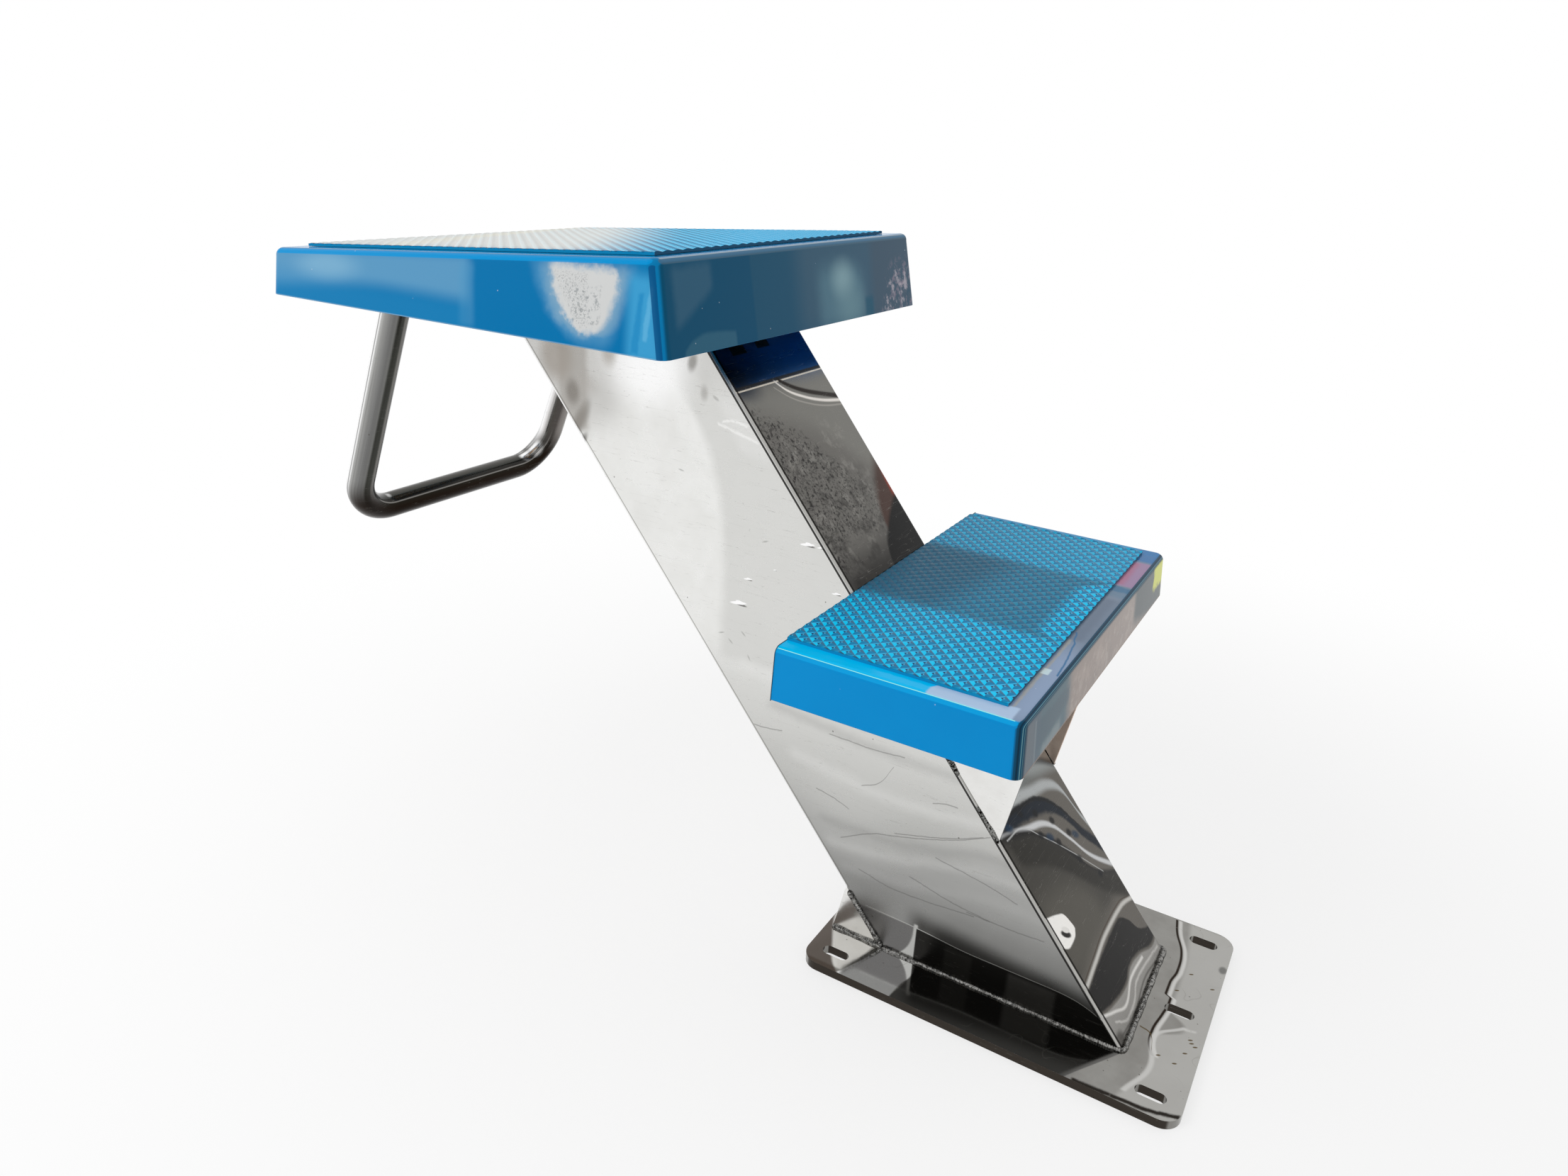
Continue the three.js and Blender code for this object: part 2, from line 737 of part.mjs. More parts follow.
// A ring of the tube; the legs lie in a plane that slants forward as it goes down
function handleRing(station, radius) {
  const legUp = new THREE.Vector3(-Math.sin(handleSlant), 0, Math.cos(handleSlant));
  const across = new THREE.Vector3(0, 1, 0);
  const normal = new THREE.Vector3().crossVectors(across, legUp);
  const centre = new THREE.Vector3(handleBarX, station.y, handleBarHeight)
    .addScaledVector(legUp, station.rise);
  const outward = new THREE.Vector3()
    .addScaledVector(across, Math.cos(station.turn))
    .addScaledVector(legUp, -Math.sin(station.turn));
  const points = [];
  for (let i = 0; i < tubeSides; i += 1) {
    const angle = (i / tubeSides) * 2 * Math.PI;
    points.push(centre.clone()
      .addScaledVector(outward, radius * Math.cos(angle))
      .addScaledVector(normal, radius * Math.sin(angle)));
  }
  return points;
}

// Slides a ring up its leg until it lies in the plane under the flange
function raiseToFlange(ring) {
  const fall = Math.tan(deckSlope);
  const slant = Math.tan(handleSlant);
  return ring.map((point) => {
    const climb = (deckHeight(point.x, handleHeadDepth) - point.z) / (1 - fall * slant);
    return new THREE.Vector3(point.x - climb * slant, point.y, point.z + climb);
  });
}

function tubeRings(radius) {
  const rings = handleStations().map((station) => handleRing(station, radius));
  return [raiseToFlange(rings[0]), ...rings, raiseToFlange(rings[rings.length - 1])];
}

// Joins the outer rings there and the inner rings back, so that both ends stay open
function buildHandle() {
  const outer = tubeRings(handleTubeDiameter / 2);
  const inner = tubeRings(handleTubeDiameter / 2 - handleTubeWall).reverse();
  add(startingBlock, 'handle_tube', closedLoop([...outer, ...inner]), tubeSteel);
}

// Joins rings of equal count into a skin that closes on itself
function closedLoop(rings) {
  const count = rings[0].length;
  const positions = rings.flat().flatMap((point) => point.toArray());
  const triangles = [];
  rings.forEach((_, level) => {
    const here = level * count;
    const there = ((level + 1) % rings.length) * count;
    for (let i = 0; i < count; i += 1) {
      const next = (i + 1) % count;
      triangles.push(here + i, here + next, there + next);
      triangles.push(here + i, there + next, there + i);
    }
  });
  return indexedGeometry(positions, triangles);
}

buildAnchorPlate();
buildColumn();
buildFrontGussets();
buildStepGussets();
buildStepTray();
buildStepBoard();
buildStepShell();
buildStepMat();
buildPlatformShell();
buildPlatformBoard();
buildHeadFlange();
buildPlatformMat();
buildHandleFlanges();
buildHandle();
startingBlock.add(deckFrame);

export default startingBlock;
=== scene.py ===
"""A swimming starting block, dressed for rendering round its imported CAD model.

A leaning stainless column stands on an anchor plate. It carries a blue glass-fibre step
behind it, a blue glass-fibre platform on top and a backstroke handle under the platform.

Sizes are millimetres until a mesh is made, which is in metres. +Z is up, +X points over the
pool and +Y is the swimmer's left, as in the CAD model.
"""
import logging
import math
from dataclasses import dataclass, field
from enum import Enum
from typing import Callable, Dict, Optional, Sequence, Tuple, Union

import bmesh
import bpy
import numpy as np
from mathutils import Matrix


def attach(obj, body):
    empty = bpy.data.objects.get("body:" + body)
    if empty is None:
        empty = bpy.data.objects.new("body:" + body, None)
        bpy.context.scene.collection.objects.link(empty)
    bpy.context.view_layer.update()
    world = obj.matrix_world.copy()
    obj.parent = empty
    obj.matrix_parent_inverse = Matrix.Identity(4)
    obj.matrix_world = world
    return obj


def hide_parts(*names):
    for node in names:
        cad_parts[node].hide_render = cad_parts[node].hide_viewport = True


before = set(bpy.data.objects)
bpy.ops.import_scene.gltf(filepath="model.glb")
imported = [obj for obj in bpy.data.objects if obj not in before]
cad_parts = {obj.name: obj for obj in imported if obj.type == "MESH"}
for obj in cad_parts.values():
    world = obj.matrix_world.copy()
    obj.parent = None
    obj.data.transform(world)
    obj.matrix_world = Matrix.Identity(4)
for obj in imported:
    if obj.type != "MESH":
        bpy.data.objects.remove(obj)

log = logging.getLogger("starting_block")

MM = 0.001
BODY = "root"
SAME_PLANE = math.radians(0.5)
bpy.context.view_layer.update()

Array = np.ndarray
Point = Tuple[float, float]
Triple = Tuple[float, float, float]
Material = bpy.types.Material
Mesh = bpy.types.Mesh
Node = bpy.types.Node
Piece = bpy.types.Object
Socket = bpy.types.NodeSocket
Tree = bpy.types.NodeTree
Input = Union[float, Sequence[float], Socket]

UP: Triple = (0.0, 0.0, 1.0)
LEFT: Triple = (0.0, 1.0, 0.0)
REAR: Triple = (-1.0, 0.0, 0.0)
AHEAD: Triple = (1.0, 0.0, 0.0)


# Arrays

def joined(*parts: Union[float, Array]) -> Array:
    """Arrays and plain numbers side by side along a new last axis, as coordinates are."""
    return np.stack(np.broadcast_arrays(*parts), axis=-1)


def read(items: bpy.types.bpy_prop_collection, key: str, width: int = 1) -> Array:
    """A property of all parts of a mesh: whole numbers, or rows of a width above 1."""
    values = np.empty(len(items) * width, dtype=float if width > 1 else np.int64)
    items.foreach_get(key, values)
    return values.reshape(-1, width) if width > 1 else values


def unit(vectors: Array) -> Array:
    """The vectors brought to length 1."""
    return vectors / np.linalg.norm(vectors, axis=-1, keepdims=True)


def arc(centre: Point, radius: float, start: float, end: float, steps: int) -> Array:
    """Points of an arc: centre + radius (cos a, sin a), with a from start to end in degrees."""
    angles = np.radians(np.linspace(start, end, steps + 1))
    return joined(centre[0] + radius * np.cos(angles), centre[1] + radius * np.sin(angles))


# Sizes that several sub-assemblies share

@dataclass(frozen=True)
class Layout:
    """The lines and planes that the sub-assemblies share, as the CAD source has them."""

    plate_top: float = 10.0
    column_rear_foot: float = -133.0
    column_foot_length: float = 264.0
    column_half_width: float = 88.0
    sheet: float = 3.0
    lean: float = math.radians(50.5)
    deck_rear_x: float = 312.0
    deck_rear_height: float = 730.0
    deck_slope: float = math.atan2(36.0, 510.0)
    seat_gap: float = 0.3

    def column_depth(self) -> float:
        """Depth of the column's section, square to its lean."""
        return self.column_foot_length * math.sin(self.lean)

    def rear_normal(self) -> Triple:
        """The way that the column's rear face looks."""
        return (-math.sin(self.lean), 0.0, math.cos(self.lean))

    def column_rear_x(self, height: Array) -> Array:
        """X of the column's rear face at a height."""
        return self.column_rear_foot + (height - self.plate_top) / math.tan(self.lean)

    def deck_height(self, x: Array, depth: float = 0.0) -> Array:
        """Height of the plane that lies a depth below the platform's sloping deck."""
        fall = (x - self.deck_rear_x) * math.tan(self.deck_slope)
        return self.deck_rear_height - fall - depth / math.cos(self.deck_slope)

    def from_deck(self, points: Array) -> Array:
        """Turns points of the deck's own frame, where x runs along it, into the world's."""
        cos, sin = math.cos(self.deck_slope), math.sin(self.deck_slope)
        x = self.deck_rear_x + points[..., 0] * cos + points[..., 2] * sin
        z = self.deck_rear_height - points[..., 0] * sin + points[..., 2] * cos
        return joined(x, points[..., 1], z)

    def leaning(self, depth: Array, y: Array, head_depth: float) -> Tuple[Array, Array]:
        """Ends of lines that lean as the column does.

        A line starts on the anchor plate at x = rear foot + depth / sin(lean) and climbs with
        the slope tan(lean) until it meets the plane head_depth below the deck.

        Args:
            depth: Distance of each line ahead of the column's rear face, square to the lean.
            y: Sideways place of each line.
            head_depth: Depth of the plane that cuts the heads, below the deck.

        Returns:
            The foot points and the head points, each as an array of (n, 3).
        """
        rise, fall = math.tan(self.lean), math.tan(self.deck_slope)
        foot_x = self.column_rear_foot + depth / math.sin(self.lean)
        head_x = self.deck_height(0.0, head_depth) - self.plate_top + foot_x * rise
        head_x /= rise + fall
        return (joined(foot_x, y, self.plate_top),
                joined(head_x, y, self.deck_height(head_x, head_depth)))


LAYOUT = Layout()


# Surfaces as whole arrays

@dataclass
class Surface:
    """Points and polygons of a mesh as whole arrays.

    corners holds the point numbers of all polygons one after another, counts the number of
    corners of each polygon, and face_values a number for each polygon under a name.
    """

    points: Array
    corners: Array
    counts: Array
    face_values: Dict[str, Array] = field(default_factory=dict)

    @classmethod
    def grid(cls, points: Array, wrap_rows: bool = False, wrap_columns: bool = False) -> "Surface":
        """Joins a grid of points into quads.

        The quad of row i and column j has the corners (i, j), (i, j+1), (i+1, j+1), (i+1, j),
        counted round the grid where it wraps.

        Args:
            points: Array of (rows, columns, 3).
            wrap_rows: Joins the last row to the first.
            wrap_columns: Joins the last column to the first.

        Returns:
            The surface.
        """
        rows, columns = points.shape[:2]
        i = np.arange(rows if wrap_rows else rows - 1)[:, None]
        j = np.arange(columns if wrap_columns else columns - 1)[None, :]
        down, right = (i + 1) % rows, (j + 1) % columns
        quads = joined(i * columns + j, i * columns + right, down * columns + right,
                       down * columns + j).reshape(-1)
        return cls(points.reshape(-1, 3), quads, np.full(quads.size // 4, 4))

    @classmethod
    def polygon(cls, points: Array) -> "Surface":
        """One flat polygon through the points, in their order."""
        return cls(points, np.arange(len(points)), np.array([len(points)]))

    @classmethod
    def of_node(cls, node: str) -> "Surface":
        """The triangles of a CAD node, in millimetres."""
        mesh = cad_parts[node].data
        return cls(read(mesh.vertices, "co", 3) / MM, read(mesh.loops, "vertex_index"),
                   read(mesh.polygons, "loop_total"))

    def __add__(self, other: "Surface") -> "Surface":
        """Both surfaces as one; a polygon without a value gets 0."""
        values = {
            name: np.concatenate([
                part.face_values.get(name, np.zeros(len(part.counts))) for part in (self, other)])
            for name in {*self.face_values, *other.face_values}}
        return Surface(
            np.concatenate([self.points, other.points]),
            np.concatenate([self.corners, other.corners + len(self.points)]),
            np.concatenate([self.counts, other.counts]), values)

    def moved(self, change: Callable[[Array], Array]) -> "Surface":
        """The same polygons with their points passed through a change."""
        return Surface(change(self.points), self.corners, self.counts, self.face_values)

    def mesh(self, name: str, weld: float = 0.002, flatten: bool = False) -> Mesh:
        """Makes a mesh in metres, merged, with its faces pointing outwards.

        Args:
            name: Name of the mesh.
            weld: Points closer than this many millimetres become one.
            flatten: Joins neighbouring triangles of one plane into larger faces.

        Returns:
            The mesh.
        """
        mesh = bpy.data.meshes.new(name)
        mesh.vertices.add(len(self.points))
        mesh.vertices.foreach_set("co", (self.points * MM).astype(np.float32).ravel())
        mesh.loops.add(len(self.corners))
        mesh.loops.foreach_set("vertex_index", self.corners.astype(np.int32))
        mesh.polygons.add(len(self.counts))
        starts = np.concatenate([[0], np.cumsum(self.counts)[:-1]])
        mesh.polygons.foreach_set("loop_start", starts.astype(np.int32))
        for key, values in self.face_values.items():
            attribute = mesh.attributes.new(key, "FLOAT", "FACE")
            attribute.data.foreach_set("value", values.astype(np.float32))
        mesh.update(calc_edges=True)
        work = bmesh.new()
        work.from_mesh(mesh)
        bmesh.ops.remove_doubles(work, verts=work.verts, dist=weld * MM)
        bmesh.ops.dissolve_degenerate(work, edges=work.edges, dist=weld * MM)
        if flatten:
            bmesh.ops.dissolve_limit(
                work, angle_limit=SAME_PLANE, verts=work.verts, edges=work.edges)
        if work.calc_volume(signed=True) < 0.0:
            bmesh.ops.reverse_faces(work, faces=work.faces)
        work.to_mesh(mesh)
        work.free()
        return mesh


# Pieces

class Slot(Enum):
    """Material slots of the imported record."""

    POLISHED = "polished_steel"
    SATIN = "satin_steel"
    TUBE = "tube_steel"
    BOLT = "bolt_steel"
    GELCOAT = "blue_gelcoat"
    MAT = "blue_mat"
    PLYWOOD = "plywood"


@dataclass(frozen=True)
class Softening:
    """How a piece's edges are rounded and its faces shaded."""

    width: float = 0.5
    segments: int = 2
    crease: float = 35.0
    face_weight: int = 80

    def apply(self, piece: Piece) -> None:
        """Shades the piece smooth up to the crease angle and rounds the sharper edges."""
        piece.data.shade_smooth()
        piece.data.set_sharp_from_angle(angle=math.radians(self.crease))
        if self.width > 0.0:
            bevel = piece.modifiers.new("rounded_edges", "BEVEL")
            bevel.width = self.width * MM
            bevel.segments = self.segments
            bevel.limit_method = "ANGLE"
            bevel.angle_limit = math.radians(self.crease)
        weighted = piece.modifiers.new("even_shading", "WEIGHTED_NORMAL")
        weighted.keep_sharp = self.width <= 0.0
        weighted.weight = self.face_weight


def put(name: str, data: bpy.types.ID) -> Piece:
    """A new object in the scene."""
    made = bpy.data.objects.new(name, data)
    bpy.context.scene.collection.objects.link(made)
    return made


def place(
    name: str,
    mesh: Mesh,
    material: Optional[Material],
    nodes: Sequence[str] = (),
    softening: Optional[Softening] = Softening(),
) -> Piece:
    """Puts a finished mesh into the scene as a piece of the block.

    Args:
        name: Name of the piece.
        mesh: Its mesh, with its place in it.
        material: Its material, or None where the mesh brings its own.
        nodes: CAD nodes that it stands for.
        softening: How its edges are rounded, or None for flat facets.

    Returns:
        The new object.
    """
    piece = put(name, mesh)
    if material is not None:
        mesh.materials.clear()
        mesh.materials.append(material)
    if softening is not None:
        softening.apply(piece)
    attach(piece, BODY)
    if nodes:
        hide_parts(*nodes)
    log.info("%s: %d faces, for %s", name, len(mesh.polygons), ", ".join(nodes) or "no node")
    return piece


def place_copy(
    node: str, material: Material, softening: Softening = Softening(),
) -> Piece:
    """Puts a merged copy of a CAD node with rounded edges in the node's place."""
    name = f"{node}_finished"
    mesh = Surface.of_node(node).mesh(name, flatten=True)
    return place(name, mesh, material, (node,), softening)


def keep_node(node: str, material: Material) -> None:
    """Gives a CAD node that stays in the scene a finished material."""
    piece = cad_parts[node]
    if not piece.material_slots:
        piece.data.materials.append(material)
    for slot in piece.material_slots:
        slot.material = material
    log.info("%s: kept from the CAD model", node)


# Shader nodes

def colour(code: str, lift: float = 1.0) -> Tuple[float, float, float, float]:
    """A colour written as #rrggbb, as the linear numbers that a shader takes, times a lift."""
    shares = np.array([int(code[i:i + 2], 16) for i in (1, 3, 5)]) / 255.0
    linear = np.where(shares <= 0.04045, shares / 12.92, ((shares + 0.055) / 1.055) ** 2.4)
    return (*np.minimum(linear * lift, 1.0).tolist(), 1.0)


class Graph:
    """Short ways to add nodes to one shader tree and to join them."""

    def __init__(self, tree: Tree) -> None:
        """Args:
            tree: The tree that gets the nodes.
        """
        self.tree = tree

    def feed(self, socket: Socket, value: Input) -> None:
        """Links another node's output to a socket, or writes a plain value into it."""
        if isinstance(value, Socket):
            self.tree.links.new(value, socket)
        else:
            socket.default_value = value

    def node(self, kind: str, inputs: Optional[Dict[Union[str, int], Input]] = None,
             **settings: object) -> Node:
        """Adds a node, writes its settings and feeds its inputs."""
        made = self.tree.nodes.new(kind)
        for key, value in settings.items():
            setattr(made, key, value)
        for key, value in (inputs or {}).items():
            self.feed(made.inputs[key], value)
        return made

    def math(self, operation: str, *values: Input) -> Socket:
        """Result of a Math node."""
        return self.node("ShaderNodeMath", dict(enumerate(values)), operation=operation).outputs[0]

    def vector(self, operation: str, *values: Input) -> Socket:
        """First result of a Vector Math node; its value output for a dot product or length."""
        made = self.node("ShaderNodeVectorMath", dict(enumerate(values)), operation=operation)
        return made.outputs["Value" if operation in ("DOT_PRODUCT", "LENGTH") else "Vector"]

    def mix(self, share: Input, first: Input, second: Input) -> Socket:
        """Colour that goes from first to second with the share."""
        return self.node("ShaderNodeMix", {0: share, 6: first, 7: second},
                         data_type="RGBA").outputs[2]

    def between(self, share: Input, first: Input, second: Input) -> Socket:
        """Number that goes from first to second with the share."""
        return self.node("ShaderNodeMix", {0: share, 2: first, 3: second},
                         data_type="FLOAT").outputs[0]

    def spread(self, value: Input, low: Input, high: Input, to_low: Input = 0.0,
               to_high: Input = 1.0) -> Socket:
        """Smooth step of a value from low to high, clamped at both."""
        return self.node("ShaderNodeMapRange", {
            0: value, 1: low, 2: high, 3: to_low, 4: to_high,
        }, interpolation_type="SMOOTHSTEP").outputs[0]

    def noise(self, vector: Input, scale: Input, detail: float = 3.0, roughness: float = 0.55,
              distortion: float = 0.0) -> Socket:
        """Value of a Noise Texture, about 0.5 on average."""
        return self.node("ShaderNodeTexNoise", {
            "Vector": vector, "Scale": scale, "Detail": detail, "Roughness": roughness,
            "Distortion": distortion,
        }).outputs[0]

    def curve(self, value: Input, points: Sequence[Point]) -> Socket:
        """Float Curve through points, which are smooth where there are more than two."""
        made = self.node("ShaderNodeFloatCurve", {"Value": value})
        made.mapping.use_clip = False
        line = made.mapping.curves[0]
        ordered = sorted(points)
        line.points[0].location = ordered[0]
        line.points[1].location = ordered[-1]
        for x, y in ordered[1:-1]:
            line.points.new(x, y)
        for point in line.points:
            point.handle_type = "AUTO_CLAMPED" if len(points) > 2 else "VECTOR"
        made.mapping.update()
        return made.outputs[0]

    def ramp(self, value: Input, stops: Sequence[Tuple[float, str]]) -> Socket:
        """Color Ramp through colours at places from 0 to 1."""
        made = self.node("ShaderNodeValToRGB", {"Fac": value})
        elements = made.color_ramp.elements
        elements.remove(elements[1])
        for number, (spot, code) in enumerate(sorted(stops)):
            element = elements[0] if number == 0 else elements.new(spot)
            element.position, element.color = spot, colour(code)
        return made.outputs["Color"]

    def group(self, tree: Tree, **inputs: Input) -> Socket:
        """Output of a node group."""
        return self.node("ShaderNodeGroup", inputs, node_tree=tree).outputs[0]

    def bump(self, height: Input, strength: float, distance: float) -> Socket:
        """Normal of a Bump node; distance is in millimetres."""
        return self.node("ShaderNodeBump", {
            "Height": height, "Strength": strength, "Distance": distance * MM,
        }).outputs[0]

    def cover(self, base: Input, code: str, mask: Input, strength: Input) -> Socket:
        """Lays a colour over a base with a mask times a strength."""
        return self.mix(self.math("MULTIPLY", mask, strength), base, colour(code))

    def dress(self, shader: Node, base: Input, rough: Input, normal: Input) -> None:
        """Feeds a Principled BSDF's colour, roughness and normal."""
        for name, value in (("Base Color", base), ("Roughness", rough), ("Normal", normal)):
            self.feed(shader.inputs[name], value)

    def along(self, direction: Sequence[float]) -> Socket:
        """Dot product of the surface's normal and a direction, which is brought to length 1."""
        normal = self.node("ShaderNodeNewGeometry").outputs["Normal"]
        return self.vector("DOT_PRODUCT", normal, unit(np.array(direction)).tolist())


class Effects:
    """Node groups for the effects that several finishes share, each built once."""

    def __init__(self) -> None:
        """Builds the groups; an input has its first number, or is a Vector or a Color."""
        self.window = self._group("soft_window", self._window, "Mask",
                                  Value=0.0, Low=0.0, High=1.0, Softness=0.01)
        self.clouds = self._group("clouds", self._clouds, "Mask",
                                  Vector="Vector", Scale=12.0, Contrast=0.2)
        self.scratches = self._group("scratches", self._scratches, "Mask",
                                     Vector="Vector", Width=0.01, Share=0.5)
        self.specks = self._group("specks", self._specks, "Mask",
                                  Vector="Vector", Scale=300.0, Share=0.2, Size=0.3)
        self.facing = self._group("facing", Graph.spread, "Mask",
                                  Along=0.0, From=0.78, To=0.94)
        self.patch = self._group(
            "painted_patch", self._patch, "Color", Base="Color", Paint="Color", Along=0.0, Up=0.0,
            Low=0.0, High=1.0, Start=0.0, End=1.0, Softness=1.0, Strength=1.0, Mask=1.0)
        self.blot = self._group(
            "painted_blot", self._blot, "Color", Base="Color", Paint="Color", Point="Vector",
            Centre="Vector", Long="Vector", Short="Vector", Softness=0.5, Strength=1.0, Mask=1.0)

    @staticmethod
    def _group(name: str, recipe: Callable[..., Input], output: str,
               **inputs: Union[float, str]) -> Tree:
        """Makes a shader node group with one output.

        Args:
            name: Name of the group.
            recipe: Works out the output from a graph and the inputs in their order.
            output: Name of the output, Mask for a number or Color for a colour.
            inputs: First number of each input, or Vector or Color for what isn't a number.

        Returns:
            The group.
        """
        tree = bpy.data.node_groups.new(name, "ShaderNodeTree")
        for key, first in inputs.items():
            kind = first if isinstance(first, str) else "Float"
            socket = tree.interface.new_socket(
                key, in_out="INPUT", socket_type=f"NodeSocket{kind}")
            if kind == "Float":
                socket.default_value = first
        kind = "Color" if output == "Color" else "Float"
        tree.interface.new_socket(output, in_out="OUTPUT", socket_type=f"NodeSocket{kind}")
        graph = Graph(tree)
        given = graph.node("NodeGroupInput").outputs
        graph.node("NodeGroupOutput", {output: recipe(graph, *(given[key] for key in inputs))})
        return tree

    @staticmethod
    def _window(graph: Graph, value: Input, low: Input, high: Input, soft: Input) -> Input:
        """Mask that is 1 between a low and a high value: the product of a smooth step up round
        the low one and a smooth step down round the high one."""
        up = graph.spread(value, graph.math("SUBTRACT", low, soft), graph.math("ADD", low, soft))
        down = graph.spread(value, graph.math("SUBTRACT", high, soft),
                            graph.math("ADD", high, soft), 1.0, 0.0)
        return graph.math("MULTIPLY", up, down)

    @staticmethod
    def _clouds(graph: Graph, at: Input, scale: Input, contrast: Input) -> Input:
        """Broad uneven patches: two noises of different scale, averaged and steepened."""
        broad = graph.noise(at, scale, 3.0, 0.5, 0.4)
        fine = graph.noise(at, graph.math("MULTIPLY", scale, 4.3), 4.0, 0.6)
        return graph.spread(graph.between(0.3, broad, fine),
                            graph.math("SUBTRACT", 0.5, contrast),
                            graph.math("ADD", 0.5, contrast))

    @staticmethod
    def _scratches(graph: Graph, at: Input, width: Input, share: Input) -> Input:
        """Fine scratches: the thin zone where a long stretched noise crosses its middle, kept
        only where a second, broader noise is high."""
        long = graph.noise(at, 1.0, 1.0, 0.4)
        off = graph.math("ABSOLUTE", graph.math("SUBTRACT", long, 0.5))
        line = graph.spread(off, 0.0, width, 1.0, 0.0)
        where = graph.noise(at, 0.37, 2.0, 0.6)
        edge = graph.math("SUBTRACT", 1.0, share)
        kept = graph.spread(where, edge, graph.math("ADD", edge, 0.08))
        return graph.math("MULTIPLY", line, kept)

    @staticmethod
    def _specks(graph: Graph, at: Input, scale: Input, share: Input, size: Input) -> Input:
        """Small spots: the middles of Voronoi cells in coordinates shaken by noise, kept where
        the cell's own random number is below the share, with a radius that follows another."""
        shake = graph.node("ShaderNodeTexNoise", {
            "Vector": at, "Scale": graph.math("MULTIPLY", scale, 1.7)}).outputs["Color"]
        shaken = graph.vector("ADD", at, graph.node(
            "ShaderNodeVectorMath", {0: shake, "Scale": 0.8 * MM}, operation="SCALE").outputs[0])
        cells = graph.node("ShaderNodeTexVoronoi", {"Vector": shaken, "Scale": scale})
        chance = graph.node("ShaderNodeSeparateColor", {0: cells.outputs["Color"]})
        kept = graph.math("LESS_THAN", chance.outputs[0], share)
        radius = graph.math("MULTIPLY", size, graph.math("ADD", 0.3, chance.outputs[1]))
        spot = graph.spread(cells.outputs["Distance"], graph.math("MULTIPLY", radius, 0.6),
                            radius, 1.0, 0.0)
        return graph.math("MULTIPLY", spot, kept)

    def _patch(self, graph: Graph, base: Input, paint: Input, along: Input, up: Input,
               low: Input, high: Input, start: Input, end: Input, soft: Input, strength: Input,
               mask: Input) -> Input:
        """Paint over a base colour between two lines: the share is a window of the height
        times a window of the way along, times the strength and the mask."""
        across = graph.group(self.window, Value=up, Low=low, High=high, Softness=soft)
        ends = graph.group(self.window, Value=along, Low=start, High=end, Softness=soft)
        share = graph.math("MULTIPLY", graph.math("MULTIPLY", across, ends),
                           graph.math("MULTIPLY", strength, mask))
        return graph.mix(share, base, paint)

    @staticmethod
    def _blot(graph: Graph, base: Input, paint: Input, point: Input, centre: Input, long: Input,
              short: Input, soft: Input, strength: Input, mask: Input) -> Input:
        """Paint over a base colour in a soft oval: the share is a smooth step down of the
        distance from the centre, measured along the oval's two axes over their radii."""
        off = graph.vector("SUBTRACT", point, centre)
        oval = graph.node("ShaderNodeCombineXYZ", {
            0: graph.vector("DOT_PRODUCT", off, long),
            1: graph.vector("DOT_PRODUCT", off, short)}).outputs[0]
        inside = graph.spread(graph.vector("LENGTH", oval), graph.math("SUBTRACT", 1.0, soft),
                              graph.math("ADD", 1.0, soft), 1.0, 0.0)
        share = graph.math("MULTIPLY", inside, graph.math("MULTIPLY", strength, mask))
        return graph.mix(share, base, paint)


EFFECTS = Effects()


@dataclass(frozen=True)
class Patch:
    """A soft-edged area on a face, between a low and a high line.

    Both lines are points in millimetres on the face: (run, rise), or (rise, run) for an upright
    patch. Where width is given, the patch follows the low line alone, half of it on each side.
    ragged is how far noise pushes the edges about and grain the size of that noise. speckle
    breaks the patch up into spots of about that size.
    """

    colour: str
    low: Tuple[Point, ...]
    high: Tuple[Point, ...]
    softness: float = 4.0
    strength: float = 1.0
    ragged: float = 0.0
    grain: float = 12.0
    speckle: float = 0.0
    upright: bool = False
    width: float = 0.0

    def lay(self, graph: Graph, base: Input, at: "Place") -> Input:
        """Lays the patch over a base colour."""
        along, up = (at.rise, at.run) if self.upright else (at.run, at.rise)
        mask = at.facing
        if self.ragged > 0.0:
            # Most of the noise lies within 0.25 of its middle: the edges move by half of ragged
            push = graph.math("SUBTRACT", graph.noise(
                at.point, 1.0 / (self.grain * MM), 4.0, 0.6), 0.5)
            up = graph.math("MULTIPLY_ADD", push, 2.0 * self.ragged, up)
            along = graph.math("MULTIPLY_ADD", push, -1.6 * self.ragged, along)
        if self.speckle > 0.0:
            spots = graph.noise(at.point, 1.0 / (self.speckle * MM), 5.0, 0.65)
            mask = graph.math("MULTIPLY", mask, graph.spread(spots, 0.5, 0.64))
        runs = [run for run, _ in self.low + self.high]
        if self.width > 0.0:
            up = graph.math("SUBTRACT", up, graph.curve(along, self.low))
            low, high = -self.width / 2, self.width / 2
        else:
            low, high = (line[0][1] if len({rise for _, rise in line}) == 1
                         else graph.curve(along, line) for line in (self.low, self.high))
        return graph.group(
            EFFECTS.patch, Base=base, Paint=colour(self.colour, at.lift), Along=along, Up=up,
            Low=low, High=high, Start=min(runs), End=max(runs), Softness=self.softness,
            Strength=self.strength, Mask=mask)


def box(code: str, run: Point, rise: Point, *soft: float, **more: object) -> Patch:
    """A patch between two runs and two rises; soft is its softness and its strength."""
    low, high = (tuple((end, height) for end in run) for height in rise)
    return Patch(code, low, high, *soft, **more)


def strip(code: str, points: Sequence[Point], width: float, *soft: float,
          **more: object) -> Patch:
    """A patch of an even width that follows one line of points."""
    return Patch(code, tuple(points), (), *soft, width=width, **more)


